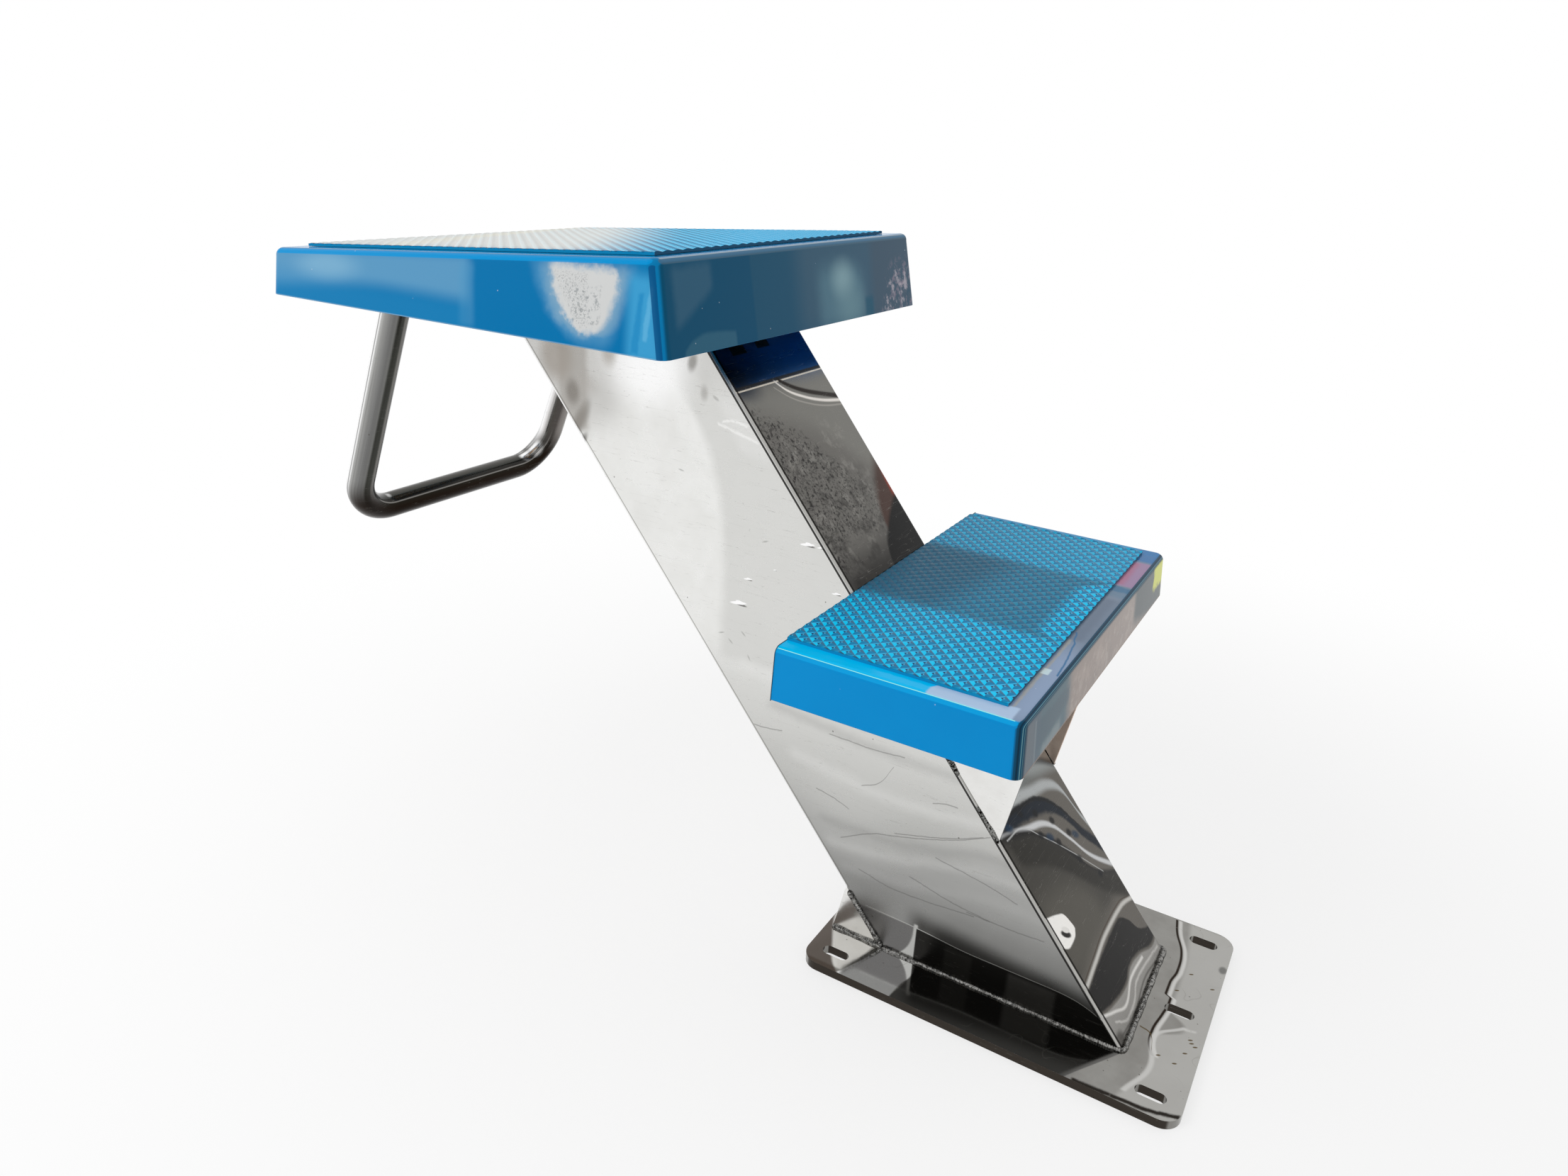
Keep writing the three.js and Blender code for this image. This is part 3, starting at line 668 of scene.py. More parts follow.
@dataclass(frozen=True)
class Blot:
    """A soft oval spot on a face, turned by degrees; softness is a share of its radius."""

    colour: str
    centre: Point
    radii: Point
    turn: float = 0.0
    softness: float = 0.5
    strength: float = 1.0

    def lay(self, graph: Graph, base: Input, at: "Place") -> Input:
        """Lays the blot over a base colour."""
        cos, sin = math.cos(math.radians(self.turn)), math.sin(math.radians(self.turn))
        return graph.group(
            EFFECTS.blot, Base=base, Paint=colour(self.colour, at.lift), Point=at.flat,
            Centre=(*self.centre, 0.0), Long=(cos / self.radii[0], sin / self.radii[0], 0.0),
            Short=(-sin / self.radii[1], cos / self.radii[1], 0.0), Softness=self.softness,
            Strength=self.strength, Mask=at.facing)


@dataclass(frozen=True)
class Place:
    """Where a shader stands on a face: object coordinates, the face's own ones in millimetres,
    both of these as one vector, the mask of surfaces that look the face's way, and the lift
    that the face's colours get."""

    point: Input
    run: Input
    rise: Input
    flat: Input
    facing: Input
    lift: float


@dataclass(frozen=True)
class Canvas:
    """A face that marks are painted on: which way it faces, and its axes.

    run and rise are the vectors that turn object coordinates in millimetres into the face's
    own ones, and origin is added to them. facing is the range of the dot product with the
    surface's normal over which the paint fades in. lift brightens the marks' colours, for
    steel that shows them darker than they are written.
    """

    direction: Triple
    run: Triple
    rise: Triple
    marks: Tuple[Union[Patch, Blot], ...]
    origin: Point = (0.0, 0.0)
    facing: Point = (0.78, 0.94)
    lift: float = 1.0

    def paint(self, graph: Graph, at: Input, base: Input) -> Input:
        """Lays the marks over a base colour, one after another, where the face looks the
        canvas's way."""
        run, rise = (graph.math("ADD", graph.vector(
            "DOT_PRODUCT", at, [part / MM for part in axis]), start)
            for axis, start in zip((self.run, self.rise), self.origin))
        facing = graph.group(EFFECTS.facing, Along=graph.along(self.direction),
                             From=self.facing[0], To=self.facing[1])
        flat = graph.node("ShaderNodeCombineXYZ", {0: run, 1: rise}).outputs[0]
        place_at = Place(at, run, rise, flat, facing, self.lift)
        for mark in self.marks:
            base = mark.lay(graph, base, place_at)
        return base


@dataclass(frozen=True)
class Sheen:
    """Painted light and shade by the way that a surface looks, whatever its place: a band of the
    dot product between its normal and a direction, with no upper end at the default, which no dot
    product reaches. It paints the highlight and shade lines along rounded edges, and shade on
    sides that face one way."""

    colour: str
    direction: Triple
    low: float
    softness: float = 0.02
    strength: float = 1.0
    high: float = 2.0

    def paint(self, graph: Graph, at: Input, base: Input) -> Input:
        """Lays the band over a base colour."""
        mask = graph.group(EFFECTS.window, Value=graph.along(self.direction), Low=self.low,
                           High=self.high, Softness=self.softness)
        return graph.cover(base, self.colour, mask, self.strength)


Paint = Tuple[Union[Canvas, Sheen], ...]


# Painted reflections, highlights and shade on the block's faces, and their stains

def column_side_paint() -> Canvas:
    """Left face of the column, with painted reflections and highlights and a dark painted
    reflection
    of the plate near the foot: run is X and rise is Z.
    """
    whole = (-160, 640)
    marks = [
        Patch("#d4d4d1", ((300, -200), (720, -200)),
              ((300, 354), (420, 354), (451, 357), (481, 361), (510, 369), (540, 382), (564, 397),
               (590, 415), (607, 422), (720, 430)), 9, 0.85, 4, 30, upright=True),
        Patch("#e2e2e0", ((530, 200), (720, 320)), ((558, 352), (596, 376), (619, 392)), 8, 0.6, 3,
              20, upright=True),
        Patch("#c4c3c0", ((490, 540), (520, 530), (640, 520)), ((490, 700), (640, 700)), 26, 0.8),
        Patch("#cbcac7", ((330, 590), (400, 590)), ((330, 700), (400, 700)), 16, 0.6, 4, 30),
        Blot("#ffffff", (455, 606), (46, 40), 0, 0.7, 0.95),
        box("#d6d6d3", whole, (-20, 300), 40),
        box("#c2c2bf", whole, (-20, 225), 45),
        box("#a6a6a4", whole, (-20, 165), 35),
        box("#8f8f8d", whole, (-20, 105), 26),
        Blot("#cfcfcc", (190, 190), (60, 60), 0, 0.9, 0.45),
        Blot("#b9b9b6", (120, 150), (55, 22), -25, 0.8, 0.4),
        Patch("#4a4947", ((-130, 10), (100, 10)),
              ((-107, 48), (-56, 57), (-16, 60), (27, 66), (97, 72)), 13, 0.95),
        box("#727170", (97, 180), (0, 54), 1.5),
        Patch("#bdbdba", ((6, 88), (22, 89), (39, 91), (58, 93)),
              ((6, 118), (22, 104), (39, 98), (58, 97)), 1.5, upright=True),
        Patch("#282725", ((-130, 0), (94, 0)),
              ((-127, 17), (-107, 37), (-44, 49), (23, 49), (90, 53)), 0.8),
        box("#5a5956", (-60, -10), (0, 46), 3, 0.7),
        box("#3f3e3b", (30, 60), (0, 46), 3, 0.7),
        strip("#b4b4b1", ((-127, 17), (-107, 37), (-44, 49), (23, 49), (97, 54), (155, 56)), 0.9,
              0.45),
        Blot("#6f6b67", (556, 560), (9, 13), 0, 0.6, 0.9),
        Blot("#77736f", (548, 528), (7, 24), 30, 0.7, 0.85),
        Blot("#5f5c58", (545, 505), (4, 12), 34, 0.6, 0.9),
        Patch("#9b968f", ((535, 520), (575, 520)), ((535, 640), (575, 640)), 6, 0.6, 3, 20),
        Blot("#a49d95", (578, 596), (22, 26), 0, 0.5, 0.8),
        Blot("#7c776f", (540, 622), (5, 9), 0, 0.7, 0.8),
        Blot("#a8a29a", (505, 610), (9, 14), 0, 0.7, 0.7),
        Blot("#b2aea9", (535, 572), (14, 10), 30, 0.8, 0.5),
        Blot("#8d8b87", (398, 614), (5, 9), 15, 0.6, 0.8),
        Blot("#a3a19d", (383, 585), (4, 7), 0, 0.7, 0.6),
        Blot("#a9a9a6", (369, 582), (4, 1.5), 30, 0.5, 0.6),
    ]
    for x, z, size in ((334, 369, 10), (323, 399, 5), (255, 453, 8), (240, 453, 4),
                       (291, 417, 2.2), (219, 409, 5)):
        marks.append(Blot("#55534f", (x - 0.3 * size, z - 0.12 * size), (0.75 * size, 0.14 * size),
                          4, 0.3, 0.8))
        marks.append(Blot("#ffffff", (x, z), (size, 0.17 * size), -9, 0.2))
        marks.append(Blot("#ffffff", (x - 0.2 * size, z + 0.1 * size), (0.5 * size, 0.2 * size), 8,
                          0.2))
    for centre, turn in (((326, 335), 40), ((342, 322), 40), ((304, 445), -20),
                         ((354, 329), -20), ((318, 309), 60), ((410, 500), 10)):
        marks.append(Blot("#9a9a97", centre, (3.2, 0.8), turn, 0.7, 0.6))
    for line in (((317, 545), (341, 551), (366, 557)), ((330, 560), (346, 563), (360, 560))):
        marks.append(strip("#f6f6f4", line, 2.4, 1.6, ragged=2.5, grain=6, strength=0.7))
    for code, line, width in (
            ("#e9e9e7", ((-10, 300), (120, 292), (330, 300)), 10),
            ("#9d9d9b", ((-20, 262), (80, 250), (290, 262)), 9),
            ("#e2e2e0", ((-30, 226), (60, 206), (150, 200), (260, 214)), 12),
            ("#8f8f8d", ((-60, 168), (20, 172), (120, 150), (220, 146)), 9),
            ("#cfcfcd", ((-70, 150), (20, 152), (150, 126), (210, 122)), 8),
            ("#b4b4b2", ((-80, 120), (0, 124), (120, 104), (190, 96)), 7)):
        marks.append(strip(code, line, width, 8, 0.4, ragged=6, grain=34))
    for code, inset, width, strength in (("#ffffff", 1.2, 2.4, 0.9), ("#66645f", 4.2, 1.4, 0.75)):
        front = LAYOUT.column_foot_length - inset
        marks.append(strip(code, [(LAYOUT.column_rear_x(z) + front, z) for z in (70, 660)], width,
                           0.8, strength))
    for line in (((29, 197), (65, 179), (133, 156), (152, 151), (192, 130)),
                 ((66, 217), (80, 216), (93, 212)), ((36, 194), (67, 180), (131, 160)),
                 ((-8, 132), (24, 140), (83, 150)), ((17, 99), (61, 104), (109, 115)),
                 ((34, 97), (121, 91), (168, 99)), ((128, 253), (169, 250), (215, 251)),
                 ((139, 238), (154, 213), (173, 203)), ((-40, 101), (-1, 99), (43, 99)),
                 ((185, 169), (205, 176), (226, 180)), ((272, 235), (290, 232), (308, 231))):
        marks.append(strip("#5d5c5a", line, 1, 0.7, 0.6, ragged=1.2, grain=9))
    return Canvas(LEFT, AHEAD, UP, tuple(marks), lift=1.01)


def column_rear_paint() -> Canvas:
    """Rear face of the column, with painted reflections of the platform's and the step's undersides
    and their surroundings, painted highlights and painted shade under the step: run is Y and rise
    is the way up the lean.
    """
    climb = 1 / math.sin(LAYOUT.lean)
    wide = (-95, 95)
    marks = [
        box("#64625e", wide, (330, 900), 10),
        Patch("#75746f", ((-95, 600), (-60, 640), (-10, 690), (95, 730)), ((-95, 752), (95, 752)),
              22, 0.8),
        Patch("#86847f", ((-60, 560), (88, 520)), ((-60, 700), (88, 690)), 14, 0.5, speckle=16),
        Patch("#1b1918", ((-20, 560), (30, 580), (88, 530)), ((-20, 640), (30, 700), (88, 740)), 12,
              0.9, 6, speckle=5),
        Patch("#131211", ((-60, 560), (30, 570), (88, 530)), ((-60, 600), (30, 690), (88, 735)), 14,
              0.6, 4, speckle=2.6),
        Patch("#2b2927", ((-70, 560), (88, 520)), ((-70, 620), (88, 700)), 18, 0.55, speckle=22),
        box("#171513", wide, (500, 552), 26, 0.9),
        Patch("#3a1d12", ((-95, 500), (-35, 500), (-26, 520)),
              ((-95, 640), (-81, 634), (-59, 611), (-41, 585), (-33, 560), (-26, 530)), 12, 0.85,
              3),
        Blot("#a02c06", (-90, 606), (7, 24), 8, 0.8, 1),
        Patch("#020202", ((-95, 480), (-2, 480)),
              ((-95, 598), (-77, 588), (-52, 574), (-34, 562), (-17, 548), (-4, 520)), 4, ragged=2),
        box("#003560", wide, (754, 900), 0.8),
        Blot("#005a98", (-60, 795), (80, 34), 0, 0.7, 0.9),
        Blot("#001a30", (84, 765), (34, 18), 20, 0.6, 0.9),
        box("#00070f", (32, 58), (790, 812), 1),
        box("#00070f", (-14, 10), (792, 812), 1),
        box("#26272a", wide, (753.5, 757), 0.8),
        box("#d8cfc0", wide, (751.6, 753.2), 0.5),
        strip("#1a110a", ((8, 754), (-9, 743), (-29, 734), (-54, 726), (-90, 716)), 6, 1.6),
        strip("#dad5cf", ((15, 753), (2, 740), (-19, 729), (-48, 719), (-90, 711)), 3.4, 1.4),
        strip("#9f9b95", ((22, 747), (2, 731), (-19, 721), (-48, 712), (-90, 706)), 1.6, 1.2, 0.8),
        # Below the step
        box("#5d5953", wide, (-10, 300), 10),
        box("#6c706f", (-70, 70), (250, 330), 14),
        Patch("#8d9190", ((-90, 235), (-20, 262), (20, 300)), ((-90, 262), (-30, 300), (20, 330)),
              8, 0.8),
        Patch("#24272b", ((40, 200), (95, 240)), ((60, 330), (95, 330)), 8, 0.9),
        strip("#17191c", ((95, 262), (60, 268), (20, 272), (-40, 268), (-90, 240)), 9, 4, 0.7),
        strip("#a2a5a5", ((60, 240), (30, 254), (-18, 243), (-52, 233), (-69, 219), (-79, 180),
                          (-90, 150)), 12, 4.5),
        strip("#07131f", ((70, 248), (50, 244), (10, 234), (-25, 221), (-47, 199), (-61, 171),
                          (-88, 132)), 19, 4, ragged=2),
        strip("#05080c", ((60, 251), (20, 244), (-20, 232), (-45, 208), (-66, 172)), 5, 2, ragged=2,
              grain=7),
        strip("#bfc0c1", ((95, 244), (75, 238), (33, 224), (-10, 206), (-32, 178), (-52, 145),
                          (-90, 108)), 7, 2.4),
        strip("#121110", ((95, 236), (57, 226), (14, 201), (-18, 165), (-47, 122), (-94, 92)), 17,
              3.5),
        Patch("#3b3934", ((-90, 62), (-47, 90), (20, 90), (90, 80)),
              ((-90, 96), (-47, 124), (14, 200), (75, 232), (90, 240)), 9, 0.95),
        Patch("#23211c", ((-90, 70), (-47, 100), (20, 170), (75, 205)),
              ((-90, 96), (-47, 124), (14, 200), (75, 232)), 7, 0.9),
        strip("#b6b7b6", ((75, 234), (40, 229), (14, 205), (-18, 170), (-60, 118)), 1.6, 0.9, 0.8),
        Patch("#57544d", ((-20, 82), (90, 80)), ((-20, 120), (20, 150), (90, 170)), 20, 0.7),
        Patch("#e8e6e2", ((48, 116), (56, 111), (72, 110), (88, 118)),
              ((48, 120), (54, 136), (62, 141), (88, 152)), 1.2),
        Blot("#1d1b19", (68, 122), (9, 3.6), 40, 0.25),
        Blot("#d9d7d3", (65, 125), (7, 3), 40, 0.25),
        strip("#b9b7b2", ((-102, 63), (-57, 77), (-1, 79), (48, 75), (88, 71)), 4.5, 1.8),
        strip("#3a2a1a", ((-80, 74), (-57, 82), (-1, 84), (48, 80), (88, 76)), 1.2, 0.6, 0.7),
        Patch("#100e0c", ((-91, 22), (-75, 19), (-36, 31), (-9, 35), (18, 30), (58, 35), (90, 44)),
              ((-91, 30), (-63, 44), (-54, 60), (-31, 74), (33, 72), (90, 67)), 1.8, ragged=1),
        Patch("#8f8d89", ((-95, -10), (95, -10)),
              ((-91, 19), (-75, 16), (-36, 28), (-9, 32), (18, 27), (58, 32), (95, 42)), 1.5),
        strip("#d4d2ce", ((-40, 23), (0, 26), (37, 18), (63, 28), (88, 40)), 3, 1.6),
        strip("#bdbbb7", ((-80, 10), (-40, 15), (-5, 18), (20, 10), (45, 9), (72, 22)), 2.4, 1.6,
              ragged=1.5),
        strip("#55524e", ((-60, 4), (-20, 9), (30, 4), (80, 8)), 2, 1.6),
        Blot("#4d4a46", (80, 8), (10, 7), 0, 0.5, 0.9),
        strip("#b2b0ac", ((-92, 40), (-88, 70), (-84, 112)), 5, 2, 0.8),
    ]
    for y, s in ((28, 240), (2, 226), (-20, 205), (-38, 180), (14, 206), (-10, 184), (-30, 152),
                 (-52, 120)):
        marks.append(Blot("#04070b", (y, s), (5, 4), 35, 0.5, 0.9))
    for y, s in ((-48, 172), (0, 196), (60, 240)):
        marks.append(Blot("#082a42", (y, s), (7, 4), 35, 0.5, 0.8))
    return Canvas(LAYOUT.rear_normal(), LEFT, (0, 0, climb), tuple(marks),
                  (0, -LAYOUT.plate_top * climb))


def plate_paint() -> Canvas:
    """Top of the anchor plate, with painted reflections, a painted highlight and small brown marks:
    run is X and rise is Y.
    """
    wave = ((-148, -135), (-125, -140), (-95, -151), (-61, -154), (-37, -151), (-19, -151),
            (-14, -157), (-5, -157), (12, -155), (44, -151), (62, -153), (76, -159))
    marks = [
        Patch("#bfbeba", ((-150, -205), (150, -205)),
              ((-150, -150), (-60, -160), (0, -160), (23, -179), (53, -154), (89, -160),
               (131, -146), (150, -140)), 4, 0.7, upright=True),
        Patch("#5f5e5c", ((80, -138), (92, -131), (144, -97), (152, -92)),
              ((80, 92), (88, 93), (115, 87), (152, 93)), 1, 0.9, upright=True),
        Patch("#ffffff", ((80, 94), (110, 86), (127, 90), (152, 93)),
              ((80, 132), (95, 133), (144, 152), (152, 156)), 1.2, upright=True),
        Patch("#e8e6e2", ((10, 150), (60, 146), (88, 140), (144, 151)), ((10, 212), (144, 212)), 2,
              0.9, upright=True),
        Patch("#4a3e35", ((10, 214), (68, 200), (90, 191), (110, 181), (138, 166), (152, 152)),
              ((10, 240), (152, 240)), 2.5, 0.9, upright=True),
        Patch("#2a211a", tuple((y, x - 1.3) for y, x in wave), tuple((y, x + 1.3) for y, x in wave),
              0.7, upright=True),
        Patch("#dcdbd8", tuple((y, x - 6) for y, x in wave), tuple((y, x - 2.2) for y, x in wave),
              1.4, 0.8, upright=True),
        strip("#c9c8c4", ((-190, 20), (-179, 23)), 3, 1.5),
        Patch("#d3d2cf", ((20, -182), (53, -157), (89, -163), (135, -148)),
              ((20, -177), (53, -152), (89, -158), (135, -143)), 1.8, 0.8, upright=True),
        strip("#2e2a26", ((-199, 137), (-171, 145), (-147, 147), (-100, 149)), 5, 1.6, ragged=1.5,
              grain=8),
        strip("#5a4b30", ((-157, 69), (-150, 47), (-139, 43)), 1.6, 0.8),
        Blot("#6a6a68", (-196, -90), (4, 6), 0, 0.4, 0.8),
    ]
    for centre in ((-164, 72), (-180, 74), (-186, 55), (-193, 41), (-192, -53), (-168, -64),
                   (-189, 38), (-187, 34), (-160, -30)):
        marks.append(Blot("#5a4828", centre, (2.4, 1), 30, 0.3, 0.9))
    return Canvas(UP, AHEAD, LEFT, tuple(marks), lift=0.85)


def platform_side_paint() -> Canvas:
    """Left skirt of the platform, with painted reflections, a painted highlight along the rim and
    pale
    blotches: run is X and rise is Z.
    """
    marks = (
        box("#0070aa", (300, 840), (640, 720), 6, 0.85),
        Patch("#6ba4c8", ((537, 672), (644, 674), (734, 667), (830, 658)), ((537, 712), (830, 694)),
              9, 0.7),
        box("#4f96c2", (530, 548), (650, 706), 5, 0.45),
        Blot("#86b6d2", (735, 684), (40, 12), -4, 0.7, 0.6),
        box("#1f84bb", (537, 830), (640, 672), 14, 0.5),
        Patch("#5a9cc6", ((652, 372), (671, 364), (692, 356), (716, 346)),
              ((652, 412), (671, 436), (692, 450), (716, 460)), 9, 0.6, 3, upright=True),
        Patch("#8fb0c4", ((656, 398), (664, 372), (682, 362), (716, 350)),
              ((656, 404), (668, 428), (692, 442), (716, 446)), 9, 0.6, 5, upright=True),
        Patch("#d4d4d2", ((660, 392), (666, 380), (682, 371), (704, 364), (716, 366)),
              ((660, 400), (668, 416), (688, 430), (704, 436), (716, 438)), 5.5, 0.95, 7, 7,
              upright=True),
        Patch("#6a6e70", ((664, 396), (692, 396), (710, 396)), ((664, 404), (692, 424), (710, 434)),
              2, 0.5, speckle=1.4, upright=True),
        Patch("#5f6a70", ((668, 384), (700, 380)), ((668, 412), (700, 420)), 3, 0.5, 5, 5,
              speckle=3.5, upright=True),
        box("#3fa0d2", (300, 352), (645, 715), 8, 0.9),
        Patch("#7cc8ea", ((662, 331), (680, 329), (706, 327)), ((662, 336), (680, 334), (706, 330)),
              1.5, 0.35, 2, 7, upright=True),
        Patch("#0f82bd", ((650, 340), (700, 336)), ((650, 348), (700, 341)), 2, 0.6, 2.5, 8,
              upright=True),
        box("#9fc0d2", (300, 830), (647, 649), 0.6, 0.6),
    )
    return Canvas(LEFT, AHEAD, UP, marks)


def platform_rear_paint() -> Canvas:
    """Rear skirt of the platform, painted darker than the left skirt as shade, with painted
    reflections: run is Y and rise is Z.
    """
    marks = (
        box("#004f70", (-260, 260), (640, 740), 6),
        box("#2a5a72", (-260, 104), (640, 740), 3, 0.45),
        Patch("#3d6076", ((-260, 640), (20, 640)), ((-260, 740), (20, 740)), 24, 0.9),
        Patch("#3f6880", ((168, 700), (215, 676)), ((168, 722), (225, 720)), 6, 0.6, 3),
        Patch("#4a7a8c", ((139, 645), (219, 645)), ((139, 661), (180, 664), (205, 660), (219, 652)),
              2.5, 0.4, 1),
        Patch("#5c8494", ((-118, 645), (-20, 645)),
              ((-118, 694), (-98, 702), (-60, 705), (-28, 702)), 16, 0.7, 3),
        Blot("#8fb0b8", (-72, 690), (20, 15), 0, 0.9, 0.75),
        Blot("#7498a2", (-84, 662), (26, 20), 0, 0.9, 0.6),
        box("#43586a", (-260, -140), (640, 740), 12, 0.7),
        box("#0f5872", (-139, -120), (640, 668), 4, 0.8),
        Patch("#8f8494", ((-256, 645), (-160, 645)),
              ((-256, 700), (-205, 700), (-178, 686), (-160, 655)), 10, 0.7, 4, 9, 12),
        Patch("#d8ccd4", ((-256, 648), (-165, 645)),
              ((-256, 690), (-205, 694), (-178, 676), (-165, 652)), 5, 0.5, 6, 7, 11),
        Patch("#10506c", ((-250, 640), (-205, 640)), ((-250, 672), (-228, 664), (-205, 644)), 2.5,
              0.8, 3, 7, 8),
    )
    return Canvas(REAR, LEFT, UP, marks)


def step_top_paint() -> Canvas:
    """Margins of the step's top, with painted reflections and the column's painted shade behind it:
    run is X and rise is Y.
    """
    marks = (
        box("#00c0fa", (-40, 210), (-250, 250), 4),
        box("#2a86bc", (-40, 210), (-250, -215), 4, 0.8),
        box("#7c8698", (-40, -2), (-215, 236), 2, 0.95),
        Patch("#98aed0", ((-40, 100), (-2, 70)), ((-40, 240), (-2, 240)), 34, 0.85),
        box("#5f6f84", (-21, -8), (-60, 60), 6, 0.6, ragged=3),
        box("#2475b4", (-40, 0), (-250, -190), 5, 0.9),
        box("#a585aa", (-40, 0), (-186, -104), 3, 0.9),
        box("#b8607e", (-13, -4), (-182, -108), 4, 0.6, ragged=3),
        box("#2f6f96", (-40, 0), (-100, -84), 4, 0.85, ragged=6),
        box("#55809c", (-40, 0), (-84, -70), 6, 0.5, ragged=6),
        strip("#2a6c9c", ((40, -9), (48, -11), (58, -12), (66, -15), (78, -16), (92, -18),
                          (110, -20), (140, -22)), 1.6, 0.7, 0.9, ragged=0.8, grain=9,
              upright=True),
        Patch("#b3cbe8", ((-16, 214), (50, 214), (58, 222)), ((-16, 240), (44, 240), (58, 234)),
              1.5, 0.95),
        Patch("#a9a79d", ((60, -11), (215, -11)), ((60, -7.5), (110, -8.5), (150, -7), (215, -9)),
              1.2, 0.7, 2, 6, upright=True),
        box("#d8f0f2", (-15, -8), (131, 143), 1, 0.7),
    )
    return Canvas(UP, AHEAD, LEFT, marks)


def step_rear_paint() -> Canvas:
    """Rear skirt of the step, with painted reflections and shade, a speckled tone and a thin
    painted
    highlight: run is Y and rise is Z.
    """
    marks = (
        box("#94857c", (-260, 260), (350, 420), 4),
        box("#a8988e", (-120, 120), (366, 402), 9, 0.7, ragged=8, grain=16, speckle=34),
        box("#7c706a", (-120, 120), (358, 402), 9, 0.5, ragged=6, grain=16, speckle=22),
        box("#c4b8ae", (-120, 150), (360, 400), 8, 0.35, ragged=6, grain=14, speckle=11),
        box("#2f5866", (118, 205), (350, 420), 14, ragged=4),
        Patch("#1f4658", ((118, 384), (205, 372)), ((118, 398), (205, 402)), 4, 0.7, 4, 14),
        Patch("#8f9a9c", ((140, 360), (190, 356)), ((140, 376), (190, 372)), 5, 0.5, 4, 10),
        box("#c4c8c6", (206, 210), (350, 404), 1, 0.7),
        box("#244c60", (196, 260), (350, 420), 5, 0.8, ragged=3, grain=20),
        Patch("#26383c", ((-230, 350), (-122, 372)), ((-230, 420), (-108, 420)), 9, 1, 3),
        Patch("#dce03c", ((-260, 380), (-196, 384)), ((-260, 420), (-190, 412)), 4, 1, 8, 9),
        box("#3c4a3c", (-260, -222), (350, 376), 5),
        box("#8a5c34", (-260, 260), (360, 366), 0.8, 0.5),
    )
    return Canvas(REAR, LEFT, UP, marks)


def step_mat_paint() -> Canvas:
    """Top of the step's mat, where the column's shade lies: run is Y and rise is X."""
    marks = (
        Patch("#2a6482", ((-96, -8), (-60, 20), (60, 20), (78, -4)), ((-92, 240), (78, 240)), 8,
              0.72),
        Patch("#1c506c", ((-92, 96), (80, 120)), ((-92, 240), (80, 240)), 26, 0.6),
        box("#3f8cb4", (-250, -96), (-20, 240), 20, 0.3),
    )
    return Canvas(UP, LEFT, AHEAD, marks, facing=(0.5, 0.8))


def platform_mat_paint() -> Canvas:
    """Top of the platform's mat, with a painted glare that pales it towards the front left corner:
    run is X and rise is Y.
    """
    marks = (
        Patch("#0cb4ea", ((-240, 200), (240, 200)),
              ((-240, 600), (-103, 500), (95, 370), (240, 280)), 70, 0.85, upright=True),
        Patch("#ecebe4", ((-240, 720), (-153, 650), (73, 490), (240, 390)),
              ((-240, 900), (240, 900)), 70, 0.85, upright=True),
        Patch("#f6ecc8", ((-240, 800), (0, 730), (240, 640)), ((-240, 830), (0, 770), (240, 690)),
              16, 0.25, upright=True),
    )
    return Canvas(UP, AHEAD, LEFT, marks, facing=(0.5, 0.8))


# Finishes

def start_material(name: str) -> Tuple[Material, Graph, Node, Input]:
    """A new material, a graph that writes into it, its Principled BSDF and the coordinates."""
    material = bpy.data.materials.new(name)
    material.use_nodes = True
    graph = Graph(material.node_tree)
    shader = next(n for n in material.node_tree.nodes if n.type == "BSDF_PRINCIPLED")
    coordinates = graph.node("ShaderNodeTexCoord").outputs["Object"]
    return material, graph, shader, coordinates


@dataclass(frozen=True)
class Steel:
    """Stainless steel: a base grey, clouds of a second grey, fine scratches and specks, with
    painted reflections, highlights and shade lines where its faces mirror their surroundings."""

    name: str
    light: str
    dark: str
    roughness: float
    cloud_scale: float = 14.0
    cloud_contrast: float = 0.22
    scratch: str = "#8a8883"
    scratch_stretch: Triple = (30.0, 30.0, 500.0)
    scratch_width: float = 0.012
    scratch_share: float = 0.5
    scratch_strength: float = 0.35
    speck: str = "#4a463f"
    speck_scale: float = 260.0
    speck_size: float = 0.22
    speck_share: float = 0.05
    speck_strength: float = 0.7
    unevenness: float = 0.08
    bump: float = 0.05
    paint: Paint = ()

    def material(self) -> Material:
        """Builds the material."""
        made, graph, shader, at = start_material(self.name)
        clouds = graph.group(EFFECTS.clouds, Vector=at, Scale=self.cloud_scale,
                             Contrast=self.cloud_contrast)
        base = self.tone(graph, at, graph.mix(clouds, colour(self.light), colour(self.dark)))
        for coat in self.paint:
            base = coat.paint(graph, at, base)
        stretched = graph.vector("MULTIPLY", at, self.scratch_stretch)
        lines = graph.group(EFFECTS.scratches, Vector=stretched, Width=self.scratch_width,
                            Share=self.scratch_share)
        base = graph.cover(base, self.scratch, lines, self.scratch_strength)
        spots = graph.group(EFFECTS.specks, Vector=at, Scale=self.speck_scale,
                            Share=self.speck_share, Size=self.speck_size)
        base = graph.cover(base, self.speck, spots, self.speck_strength)
        rough = graph.math("MULTIPLY_ADD", graph.math("ADD", clouds, lines), self.unevenness,
                           self.roughness)
        shader.inputs["Metallic"].default_value = 1.0
        height = graph.math("SUBTRACT", clouds, lines)
        graph.dress(shader, base, rough, graph.bump(height, self.bump, 0.2))
        return made

    def tone(self, graph: Graph, at: Input, base: Input) -> Input:
        """Colour under the paint; plain steel keeps its base."""
        return base


Tones = Tuple[Tuple[float, str], ...]


